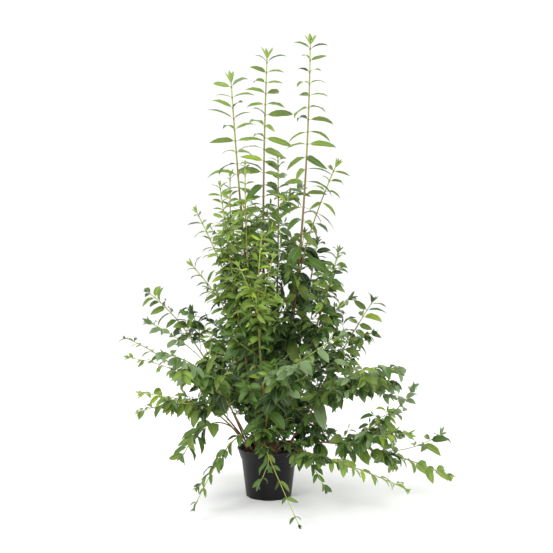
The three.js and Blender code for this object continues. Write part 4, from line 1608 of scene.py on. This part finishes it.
@dataclass
class CaneLimbs:
    """The bare woody feet of the canes, with bark relief."""

    flare: float = 0.35
    flare_length: float = 0.12
    cuts: int = 6
    ring_steps: int = 10
    side_steps: int = 4
    overlap: float = 0.004
    weld: float = 0.00002
    ridges: tuple[Span, ...] = ((0.009, 0.0011), (0.003, 0.0006))

    def limb(self, arc: Arc, cane: CaneSpec) -> Piece:
        """One cane's foot, drawn as a tapering curve and made a mesh.

        Args:
            arc: The whole cane's line.
            cane: The cane's sizes.

        Returns:
            The limb as a mesh object.
        """
        last = cane.bare + self.overlap
        start, end = arc.points(0.0), arc.points(last)
        pull = (1 - last) * arc.start + last * arc.control
        deselect_all()
        bpy.ops.curve.primitive_bezier_curve_add(location=(0.0, 0.0, 0.0))
        limb = bpy.context.object
        knots = limb.data.splines[0].bezier_points
        # The handles lie two thirds of the way to the control point, so that the curve follows the arc.
        for knot, place in zip(knots, (start, end)):
            knot.handle_left_type = knot.handle_right_type = "FREE"
            knot.co = place
            knot.handle_left = knot.handle_right = place + (pull - place) * 2 / 3
        bpy.ops.object.mode_set(mode="EDIT")
        bpy.ops.curve.select_all(action="SELECT")
        bpy.ops.curve.subdivide(number_cuts=self.cuts)
        bpy.ops.object.mode_set(mode="OBJECT")
        knots = limb.data.splines[0].bezier_points
        for index, knot in enumerate(knots):
            share = index / (len(knots) - 1)
            swell = 1.0 + self.flare * math.exp(-share / self.flare_length)
            knot.radius = cane_radius(cane, share * last) * swell
        limb.data.bevel_depth = 1.0
        limb.data.bevel_resolution = self.side_steps
        limb.data.resolution_u = self.ring_steps
        limb.data.use_fill_caps = True
        select_only(limb)
        bpy.ops.object.convert(target="MESH")
        return bpy.context.object

    def build(self, arcs: list[Arc], bark: Material) -> Piece:
        """Joins the limbs into one piece and gives them their relief.

        Args:
            arcs: Each cane's line.
            bark: The bark's material.

        Returns:
            The finished piece.
        """
        piece = join_pieces([self.limb(arc, cane) for arc, cane in zip(arcs, CANES)])
        piece.name = "cane_bark"
        bpy.ops.object.mode_set(mode="EDIT")
        bpy.ops.mesh.select_all(action="SELECT")
        bpy.ops.mesh.remove_doubles(threshold=self.weld)
        bpy.ops.mesh.normals_make_consistent(inside=False)
        bpy.ops.object.mode_set(mode="OBJECT")
        roughen(piece, "ridges", self.ridges)
        return dress(piece, bark, ROUGH_EDGE)


def cane_radius(cane: CaneSpec, share: float) -> float:
    """A cane's radius at a share of its whole length."""
    return cane.thick + (cane.thin - cane.thick) * share**STEM_TAPER


@dataclass(frozen=True)
class Clearance:
    """The space that shoots and leaves keep out of."""

    pot: NurseryPot
    from_pot: float = 0.008
    from_floor: float = 0.005

    def is_free(self, points: np.ndarray) -> bool:
        """Tells whether points keep out of the pot, the floor and the crown's openings.

        Args:
            points: The points, one a row.

        Returns:
            True where all of them do.
        """
        distance = np.hypot(points[:, 0], points[:, 1])
        low = points[:, 2] < self.pot.height + self.from_pot
        beside = distance < self.pot.rim_radius + self.from_pot
        is_clear = (points[:, 2] > self.from_floor).all() and not (low & beside).any()
        return bool(is_clear) and not any(opening.holds(points) for opening in OPENINGS)


@dataclass
class ShootRule:
    """Branches one cane into forks, twigs, twiglets and short basal shoots, and deals them their tints."""

    clearance: Clearance
    stream: random.Random

    fork_pull: float = 0.4
    fork_radius_share: float = 0.6
    fork_leaf: float = 0.078
    fork_twigs: int = 2
    fork_twig_share: float = 0.75

    twig_multiple: float = 1.7
    twig_level_angle: float = 1.5
    twig_jitter: float = 0.6
    twig_lean: float = 0.7
    twig_pull: float = 0.5
    twig_lift: float = 0.05
    twig_ends: Span = (1.15, 0.65)
    twig_spread: Span = (0.8, 1.2)
    twig_tip_radius: float = 0.0009
    twig_radius_share: float = 0.42
    twig_leaf: float = 0.062
    twiglets: int = 2
    twiglet_share: float = 0.55
    twiglet_zone: Span = (0.15, 0.75)

    basal_zone: Span = (0.25, 1.1)
    basal_turn: float = 0.7
    basal_jitter: Span = (-0.4, 0.4)
    basal_lengths: Span = (0.07, 0.12)
    basal_rise: float = 0.8
    basal_sag: Span = (-0.2, 0.5)
    basal_leaf: float = 0.050

    tint_at: float = 0.6
    young_from: float = 0.7
    shade_core_top: float = 0.72
    # Sprays low in the middle of the crown are darkened a step: painted shade.
    shade_core_radii: Span = (0.4, 0.19)
    # Sprays beyond this reach are mostly lightened: painted light and sheen.
    lit_outer_radius: float = 0.34
    lit_outer_odds: float = 0.8

    def spray_tint(self, cane: CaneSpec, arc: Arc, is_main: bool) -> Tint:
        """A spray's tint, dealt from its cane's tone: a step darker deep in the crown as painted shade,
        lighter or pale grey-green far out as painted light and sheen.

        Args:
            cane: The cane that it grows from.
            arc: The spray's line.
            is_main: True for the cane's own stem and its forks.

        Returns:
            The tint.
        """
        x, y, z = arc.points(self.tint_at)
        reach = math.hypot(x, y)
        is_ripe = z < self.young_from and not is_main
        tone = Tone.FRESH if is_ripe and cane.tone is not Tone.DEEP else cane.tone
        tint = self.stream.choice(TONE_TINTS[tone])
        if is_main and cane.region is Region.TALL:
            return Tint.MID
        # Low in the middle of the crown the tint is a step darker: painted shade.
        if z < self.shade_core_top and reach < mix(*self.shade_core_radii, z / self.shade_core_top):
            return tint.shifted(-1)
        # Far out from the axis the tint is mostly a step lighter or pale grey-green: painted light and sheen.
        if reach > self.lit_outer_radius and self.stream.random() < self.lit_outer_odds:
            return tint.shifted(1) if is_main else self.stream.choice((tint.shifted(1), Tint.PALE))
        return tint

    def main_shoots(self, arc: Arc, cane: CaneSpec) -> list[Shoot]:
        """A cane's leafy stem and its forks.

        Args:
            arc: The cane's line.
            cane: The cane's sizes.

        Returns:
            The stem first, then the forks.
        """
        tint = self.spray_tint(cane, arc, True)
        stem = Shoot(arc, Order.CANE, cane, tint, cane.leaf, cane.bare, cane.thick, cane.thin, STEM_TAPER)
        shoots = [stem]
        leaf = min(cane.leaf, self.fork_leaf)
        for tip, place in zip(cane.forks, cane.fork_places):
            point, heading, _, _ = stem.stand(place)
            end = np.array(tip)
            fork = Arc(point, point + heading * self.fork_pull * np.linalg.norm(end - point), end)
            thick = max(float(stem.radius(place)) * self.fork_radius_share, cane.thin)
            tint = self.spray_tint(cane, fork, True)
            shoots.append(Shoot(fork, Order.FORK, cane, tint, leaf, 0.0, thick, cane.thin))
        return shoots

    def twig_arc(self, parent: Shoot, place: float, angle: float, length: float) -> Arc:
        """The line of a twig that leaves a shoot.

        Args:
            parent: The shoot that it leaves.
            place: The share of the shoot's leafy part.
            angle: The angle round the shoot.
            length: The twig's length.

        Returns:
            The twig's line.
        """
        point, heading, side, normal = parent.stand(place)
        outward = side * math.cos(angle) + normal * math.sin(angle)
        start = outward * math.cos(self.twig_lean) + heading * math.sin(self.twig_lean)
        end = point + start * length + UP * self.twig_lift * length
        return Arc(point, point + start * self.twig_pull * length, end)

    def basal_arc(self, point: np.ndarray, angle: float, length: float, sag: float) -> Arc:
        """The line of a short shoot near a cane's foot, which rises outward and sags at its tip.

        Args:
            point: Where it leaves the cane.
            angle: Its bearing, in radians.
            length: Its length, measured level.
            sag: How steeply its outer half sinks.

        Returns:
            The shoot's line.
        """
        outward = np.array((math.cos(angle), math.sin(angle), 0.0))
        control = point + (outward + UP * self.basal_rise) * 0.5 * length
        return Arc(point, control, control + (outward - UP * sag) * 0.5 * length)

    def side_shoot(self, parent: Shoot, place: float, arc: Arc, leaf: float) -> Shoot:
        """The twig or twiglet that follows a line from a shoot.

        Args:
            parent: The shoot that it leaves.
            place: The share of the shoot's leafy part.
            arc: Its line.
            leaf: The greatest length of its leaves.

        Returns:
            The twig of a stem, or the twiglet of a twig.
        """
        order = Order.TWIG if parent.order.is_main else Order.TWIGLET
        thick = max(self.twig_tip_radius, self.twig_radius_share * float(parent.radius(place)))
        tint = self.spray_tint(parent.cane, arc, False)
        return Shoot(arc, order, parent.cane, tint, min(parent.leaf, leaf), 0.0, thick, self.twig_tip_radius)

    def side_shoots(self, parent: Shoot, count: int, reach: float, zone: Span) -> list[Shoot]:
        """The twigs of a stem, or the twiglets of a twig.

        Args:
            parent: The shoot that they leave.
            count: How many are tried.
            reach: Their length before it is varied.
            zone: The shares of the shoot's leafy part that they stand between.

        Returns:
            Those that find free space.
        """
        shoots = []
        for index in range(count):
            share = (index + 0.5) / count
            place = mix(*zone, share)
            length = reach * mix(*self.twig_ends, share) * self.stream.uniform(*self.twig_spread)
            for turn in range(TRIES):
                jitter = self.twig_jitter * (self.stream.random() - 0.5)
                level = (1 if index % 2 else -1) * (self.twig_level_angle + jitter)
                angle = index * SPIRAL + jitter if parent.arc.is_steep() else level
                arc = self.twig_arc(parent, place, angle + turn * math.pi / 2, length)
                if self.clearance.is_free(arc.points(SHOOT_PROBES)):
                    shoots.append(self.side_shoot(parent, place, arc, self.twig_leaf))
                    break
        return shoots

    def basal_shoots(self, stem: Shoot) -> list[Shoot]:
        """The short shoots that clothe a cane's bare foot, turned away from the pot's axis.

        Args:
            stem: The cane's own stem.

        Returns:
            Those that find free space.
        """
        shoots = []
        middle = (stem.cane.basal - 1) / 2
        for index in range(stem.cane.basal):
            point = stem.arc.points(stem.cane.bare * self.stream.uniform(*self.basal_zone))
            away = math.atan2(point[1], point[0])
            angle = away + (index - middle) * self.basal_turn + self.stream.uniform(*self.basal_jitter)
            length = self.stream.uniform(*self.basal_lengths)
            arc = self.basal_arc(point, angle, length, self.stream.uniform(*self.basal_sag))
            if self.clearance.is_free(arc.points(SHOOT_PROBES)):
                shoots.append(self.side_shoot(stem, 0.0, arc, self.basal_leaf))
        return shoots

    def all_shoots(self, arc: Arc, cane: CaneSpec) -> list[Shoot]:
        """Every shoot of one cane, down to its twiglets.

        Args:
            arc: The cane's line.
            cane: The cane's sizes.

        Returns:
            The stem, the forks, the twigs and the twiglets.
        """
        stem, *forks = self.main_shoots(arc, cane)
        count = round(cane.twigs * self.twig_multiple)
        twigs = self.side_shoots(stem, count, cane.twig, cane.twig_zone)
        for fork in forks:
            reach = self.fork_twig_share * cane.twig
            twigs += self.side_shoots(fork, min(self.fork_twigs, cane.twigs), reach, cane.twig_zone)
        twigs += self.basal_shoots(stem)
        finer: list[Shoot] = []
        for twig in twigs:
            reach = self.twiglet_share * twig.run()
            finer += self.side_shoots(twig, self.twiglets, reach, self.twiglet_zone)
        return [stem, *forks, *twigs, *finer]


@dataclass
class LeafRule:
    """Hangs pairs of leaves along one cane's shoots, and a tuft of small leaves at each tip."""

    clearance: Clearance
    stream: random.Random

    pair_jitter: float = 0.5
    steep_angles: Span = (0.92, 2.22)
    level_angles: Span = (1.15, 1.75)
    lean_spread: float = 0.3
    droop_ends: Span = (1.9, 0.3)
    droop_spread: Span = (0.6, 1.4)
    level_droop: float = 1.15
    light: Point = (0.0, -0.6, 1.0)
    face_forward: float = 0.3
    roll: float = 1.9

    foot_size: float = 1.14
    size_loss: float = 0.15
    tip_loss: float = 0.3
    tip_loss_power: int = 8
    slim_turn: Span = (0.42, 0.62)
    length_spread: Span = (0.7, 1.18)
    width_spread: Span = (0.8, 1.0)
    bends: Span = (0.6, 1.3)
    folds: Span = (0.15, 0.5)
    twists: Span = (-0.4, 0.4)
    phases: Span = (0.0, 6.3)

    odd_steps: tuple[int, ...] = (0, 0, 0, 0, 0, 1, -1)
    new_growth_from: float = 0.5
    new_growth_steps: tuple[int, ...] = (0, 0, 1)
    young_foot_steps: tuple[int, ...] = (0, -1, -1)
    ripe_foot_steps: tuple[int, ...] = (-1, -1, -2)
    # A pale spray's leaves below this share are darkened one or two steps: painted shade low in the crown.
    dusty_from: float = 0.55
    dusty_main_steps: tuple[int, ...] = (-1, -2)
    dusty_twig_steps: tuple[int, ...] = (0, -1)
    tips_from: float = 0.7
    tip_steps: tuple[int, ...] = (0, 1)

    tuft_leans: Span = (0.9, 1.3)
    tuft_spread: Span = (0.7, 1.1)
    tuft_slim: float = 0.34
    tuft_bends: Span = (-0.5, 0.1)
    tuft_fold: float = 0.6
    tuft_twist: float = 0.2
    tuft_sink: float = 0.002
    tuft_steps: int = 2

    def angle(self, shoot: Shoot, pair: int, hand: int) -> float:
        """The angle round a shoot at which a leaf stands.

        Args:
            shoot: The shoot that carries it.
            pair: The number of its pair, from the foot.
            hand: 1 for one leaf of the pair and -1 for the other.

        Returns:
            The angle, from behind on a steep shoot and from above on a level one.
        """
        jitter = self.pair_jitter * (self.stream.random() - 0.5)
        if shoot.arc.is_steep():
            return (hand - 1) * math.pi / 2 + self.steep_angles[pair % 2] + 2 * jitter
        return hand * (self.level_angles[pair % 2] + jitter)

    def direction(
        self, shoot: Shoot, share: float, angle: float
    ) -> tuple[np.ndarray, np.ndarray, np.ndarray]:
        """The way a leaf points from a node.

        Args:
            shoot: The shoot that carries it.
            share: The share of the shoot's leafy part.
            angle: The angle round the shoot.

        Returns:
            The node's point, the direction to the tip and the direction of the upper face.
        """
        point, heading, side, normal = shoot.stand(share)
        outward = side * math.cos(angle) + normal * math.sin(angle)
        lean = shoot.cane.lean + self.lean_spread * (self.stream.random() - 0.5)
        droop = shoot.cane.droop * mix(*self.droop_ends, share) * self.stream.uniform(*self.droop_spread)
        if not shoot.arc.is_steep():
            droop *= self.level_droop
        along = unit(outward * math.cos(lean) + heading * math.sin(lean) - droop * UP)
        lift = np.array(self.light) + self.face_forward * heading
        face = unit(lift - lift.dot(along) * along)
        roll = self.roll * (self.stream.random() - 0.5)
        across = np.cross(face, along)
        return point, along, face * math.cos(roll) + across * math.sin(roll)

    def shape(self, shoot: Shoot, share: float, length: float) -> LeafShape:
        """A leaf's sizes.

        Args:
            shoot: The shoot that carries it.
            share: The share of the shoot's leafy part.
            length: Its length.

        Returns:
            The sizes.
        """
        slim = mix(*shoot.cane.slim, eased(share, *self.slim_turn))
        width = length * slim * self.stream.uniform(*self.width_spread)
        spreads = (self.bends, self.folds, self.twists, self.phases)
        return LeafShape(length, width, *(self.stream.uniform(*spread) for spread in spreads))

    def tint(self, shoot: Shoot, share: float) -> Tint:
        """A leaf's tint: its spray's, now and then a step off, and younger towards a stem's tip.

        Args:
            shoot: The shoot that carries it.
            share: The share of the shoot's leafy part.

        Returns:
            The tint.
        """
        step = self.stream.choice(self.odd_steps)
        is_main = shoot.order.is_main
        if is_main and shoot.cane.is_young:
            foot_steps = self.young_foot_steps if shoot.cane.tone is Tone.YOUNG else self.ripe_foot_steps
            step += self.stream.choice(self.new_growth_steps if share > self.new_growth_from else foot_steps)
        # A pale spray's leaves near its foot turn darker here: painted shade low in the crown.
        elif shoot.tint is Tint.PALE and share < self.dusty_from:
            step += self.stream.choice(self.dusty_main_steps if is_main else self.dusty_twig_steps)
        elif is_main and share > self.tips_from:
            step += self.stream.choice(self.tip_steps)
        return shoot.tint.shifted(step)

    def clothe(self, shoot: Shoot, leaves: LeafStore) -> None:
        """Hangs a shoot's leaves.

        Args:
            shoot: The shoot.
            leaves: Where the leaves are gathered.
        """
        for pair, share in enumerate(shoot.nodes()):
            shrink = self.foot_size - self.size_loss * share - self.tip_loss * share**self.tip_loss_power
            size = shoot.leaf * shoot.order.value.scale * shrink
            for hand in (1, -1):
                length = size * self.stream.uniform(*self.length_spread)
                for _ in range(TRIES):
                    angle = self.angle(shoot, pair, hand)
                    root, along, face = self.direction(shoot, share, angle)
                    if self.clearance.is_free(root + along * length * LEAF_PROBES):
                        shape = self.shape(shoot, share, length)
                        leaves.add(root, along, face, shape, self.tint(shoot, share))
                        break
        self.tuft(shoot, leaves)

    def tuft(self, shoot: Shoot, leaves: LeafStore) -> None:
        """Sets a tuft of small upright leaves on a shoot's tip.

        Args:
            shoot: The shoot.
            leaves: Where the leaves are gathered.
        """
        tip, heading, side, normal = shoot.stand(1.0)
        habit = shoot.order.value
        size = habit.tuft_scale * shoot.leaf
        tint = shoot.tint.shifted(self.tuft_steps if shoot.order.is_main and shoot.cane.is_young else 0)
        for index in range(habit.tuft):
            angle = index * SPIRAL
            outward = side * math.cos(angle) + normal * math.sin(angle)
            lean = self.stream.uniform(*self.tuft_leans)
            along = unit(outward * math.cos(lean) + heading * math.sin(lean))
            face = unit(-outward + outward.dot(along) * along)
            length = size * self.stream.uniform(*self.tuft_spread)
            bend = self.stream.uniform(*self.tuft_bends)
            shape = LeafShape(length, self.tuft_slim * length, bend, self.tuft_fold, self.tuft_twist, angle)
            if self.clearance.is_free(tip + along * length * TUFT_PROBES):
                leaves.add(tip - heading * self.tuft_sink, along, face, shape, tint)


@dataclass
class Shrub:
    """Grows the canes with their stems and leaves, each from its own seed."""

    pot: NurseryPot
    compost_top: float
    stool: StemBase
    gap: float = 0.0003
    first_seed: int = 1000
    seed_step: int = 37
    node_reach: float = 0.0044
    node_swell: float = 1.32
    least_step: float = 0.0001
    side_age: float = 0.5

    stores: dict[Region, tuple[LeafStore, StemStore]] = field(default_factory=dict)
    arcs: list[Arc] = field(default_factory=list)

    def cane_arc(self, cane: CaneSpec) -> Arc:
        """A cane's line from where it rises, through the point half way, to its tip.

        Args:
            cane: The cane's sizes.

        Returns:
            The line.
        """
        ring, bearing = cane.foot
        on_stool = ring < self.stool.top_radius
        ground = self.stool.foot + self.stool.height if on_stool else self.compost_top
        turn = math.radians(bearing)
        start = np.array((ring * math.cos(turn), ring * math.sin(turn), ground + self.gap))
        end = np.array(cane.tip)
        control = 2 * np.array(cane.via) - 0.5 * start - 0.5 * end
        return Arc(start, control, end)

    def stem(self, shoot: Shoot, stems: StemStore) -> None:
        """Draws a shoot's stem, swollen a little at each pair of leaves.

        Args:
            shoot: The shoot.
            stems: Where the stems are gathered.
        """
        run = shoot.run()
        reach = self.node_reach / run
        rings = [(0.0, 1.0)]
        for node in shoot.nodes():
            rings += [(node - reach, 1.0), (node, self.node_swell), (node + reach, 1.0)]
        rings.append((1.0, 1.0))
        rings.sort(key=lambda ring: ring[0])
        along, swell = np.array(rings).T
        along = np.clip(along, 0.0, 1.0)
        kept = np.concatenate([[True], np.diff(along) > self.least_step])
        along, swell = along[kept], swell[kept]
        swollen = np.maximum(swell[:-1], swell[1:]) > 1.0
        finishes = [
            STEM_NODE if at_node and shoot.order.is_main else self.stem_finish(shoot, run * (1.0 - place))
            for at_node, place in zip(swollen, along)
        ]
        path = shoot.arc.points(shoot.share(along))
        stems.add(path, shoot.radius(along) * swell, shoot.order.value.sides, finishes)

    def stem_finish(self, shoot: Shoot, from_tip: float) -> PlainFinish:
        """A stem's finish by its age: lime when young, brown when old.

        Args:
            shoot: The shoot.
            from_tip: The distance from its tip.

        Returns:
            The finish there.
        """
        stretch = STEM_STRETCH[shoot.cane.tone]
        age = 1.0 if shoot.order.is_main else self.side_age
        for limit, finish in STEM_AGES:
            if from_tip < limit * stretch * age:
                return finish
        return STEM_OLD

    def grow(self) -> None:
        """Grows every cane into the stores of its region."""
        clearance = Clearance(self.pot)
        for index, cane in enumerate(CANES):
            stream = random.Random(self.first_seed + self.seed_step * index)
            leaf_rule = LeafRule(clearance, stream)
            arc = self.cane_arc(cane)
            self.arcs.append(arc)
            leaves, stems = self.stores.setdefault(cane.region, (LeafStore(), StemStore()))
            for shoot in ShootRule(clearance, stream).all_shoots(arc, cane):
                self.stem(shoot, stems)
                leaf_rule.clothe(shoot, leaves)


@dataclass(frozen=True)
class Lamp:
    """A soft square light.

    Attributes:
        name: Its name.
        place: Where it stands.
        aim: The height on the pot's axis that it faces.
        size: The length of its side.
        watts: Its power.
    """

    name: str
    place: Point
    aim: float
    size: float
    watts: float

    def build(self) -> None:
        """Adds the light and turns it to the plant."""
        deselect_all()
        bpy.ops.object.light_add(type="AREA", location=self.place)
        lamp = bpy.context.object
        lamp.name = self.name
        lamp.data.size = self.size
        lamp.data.energy = self.watts
        heading = self.aim * UP - np.array(self.place)
        level = math.hypot(heading[0], heading[1])
        lamp.rotation_euler = (math.atan2(level, -heading[2]), 0.0, math.atan2(-heading[0], heading[1]))


@dataclass
class Studio:
    """A pale floor, soft lights and the camera."""

    floor_radius: float = 30.0
    floor_thickness: float = 0.05
    floor_rim: Span = (0.99, 0.012)
    floor_segments: int = 128
    camera_place: Point = EYE
    camera_pitch: float = 84.8
    lens: float = 78.0
    sensor: float = 36.0
    sky: float = 1.05
    white: tuple[float, ...] = (1.0, 1.0, 1.0, 1.0)
    lamps: tuple[Lamp, ...] = (
        Lamp("key", (-2.2, -2.6, 3.2), 0.8, 1.6, 90.0),
        Lamp("fill", (2.8, -2.4, 2.0), 0.7, 2.0, 25.0),
        Lamp("back", (0.5, 3.0, 2.8), 0.9, 2.0, 40.0),
    )
    finish: FloorFinish = FloorFinish()

    def floor(self) -> None:
        """A broad disc, its rim turned down a little."""
        inset, drop = self.floor_rim
        profile = [
            (self.floor_radius, -self.floor_thickness),
            (self.floor_radius, -drop),
            (self.floor_radius * inset, 0.0),
        ]
        floor = turned_solid("studio_floor", profile, self.floor_segments)
        floor.data.materials.append(self.finish.material())

    def background(self) -> None:
        """An even white sky."""
        world = bpy.data.worlds.new("studio")
        world.use_nodes = True
        inputs = world.node_tree.nodes["Background"].inputs
        inputs["Color"].default_value = self.white
        inputs["Strength"].default_value = self.sky
        bpy.context.scene.world = world

    def camera(self) -> None:
        """The camera, at the eye that the crown's openings are seen from."""
        deselect_all()
        turn = (math.radians(self.camera_pitch), 0.0, 0.0)
        bpy.ops.object.camera_add(location=self.camera_place, rotation=turn)
        camera = bpy.context.object
        camera.data.lens = self.lens
        camera.data.sensor_width = self.sensor
        bpy.context.scene.camera = camera
        bpy.context.scene.view_settings.view_transform = "Standard"

    def build(self) -> None:
        """Sets up the floor, the light and the camera."""
        self.floor()
        self.background()
        for lamp in self.lamps:
            lamp.build()
        self.camera()


def place_piece(piece: Piece, slot: str, *nodes: str) -> None:
    """Fixes a finished piece to the body, and hides the solids it stands for.

    Args:
        piece: The finished piece.
        slot: The record's material slot; not used.
        nodes: The names of the solids.
    """
    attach(piece, BODY)
    if nodes:
        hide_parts(*nodes)
    piece.data.calc_loop_triangles()
    LOG.info("%s: %d triangles", piece.name, len(piece.data.loop_triangles))


def main() -> None:
    """Builds the pot, the compost, the wood and the foliage, then the studio."""
    logging.basicConfig(level=logging.INFO, format="%(message)s")
    pot = NurseryPot()
    compost = Compost(pot)
    stool = StemBase()
    place_piece(pot.build(), "pot_plastic", "pot")
    place_piece(compost.bed(), "compost", "soil")
    place_piece(compost.loose_crumbs(), "compost")
    bark = BarkFinish().material()
    place_piece(stool.build(bark), "bark", "stem_base")
    shrub = Shrub(pot, compost.top, stool)
    shrub.grow()
    limbs = CaneLimbs().build(shrub.arcs, bark)
    place_piece(limbs, "bark", *[f"cane_{cane.name}" for cane in CANES])
    for region, (leaves, stems) in shrub.stores.items():
        nodes = [f"leaves_{cane.name}" for cane in CANES if cane.region is region]
        tone = next(cane.tone for cane in CANES if cane.region is region)
        place_piece(leaves.build(f"{region.value}_leaves"), tone.slot, *nodes)
        place_piece(stems.build(f"{region.value}_stems"), "bark", *nodes)
    Studio().build()


if __name__ == "__main__":
    main()
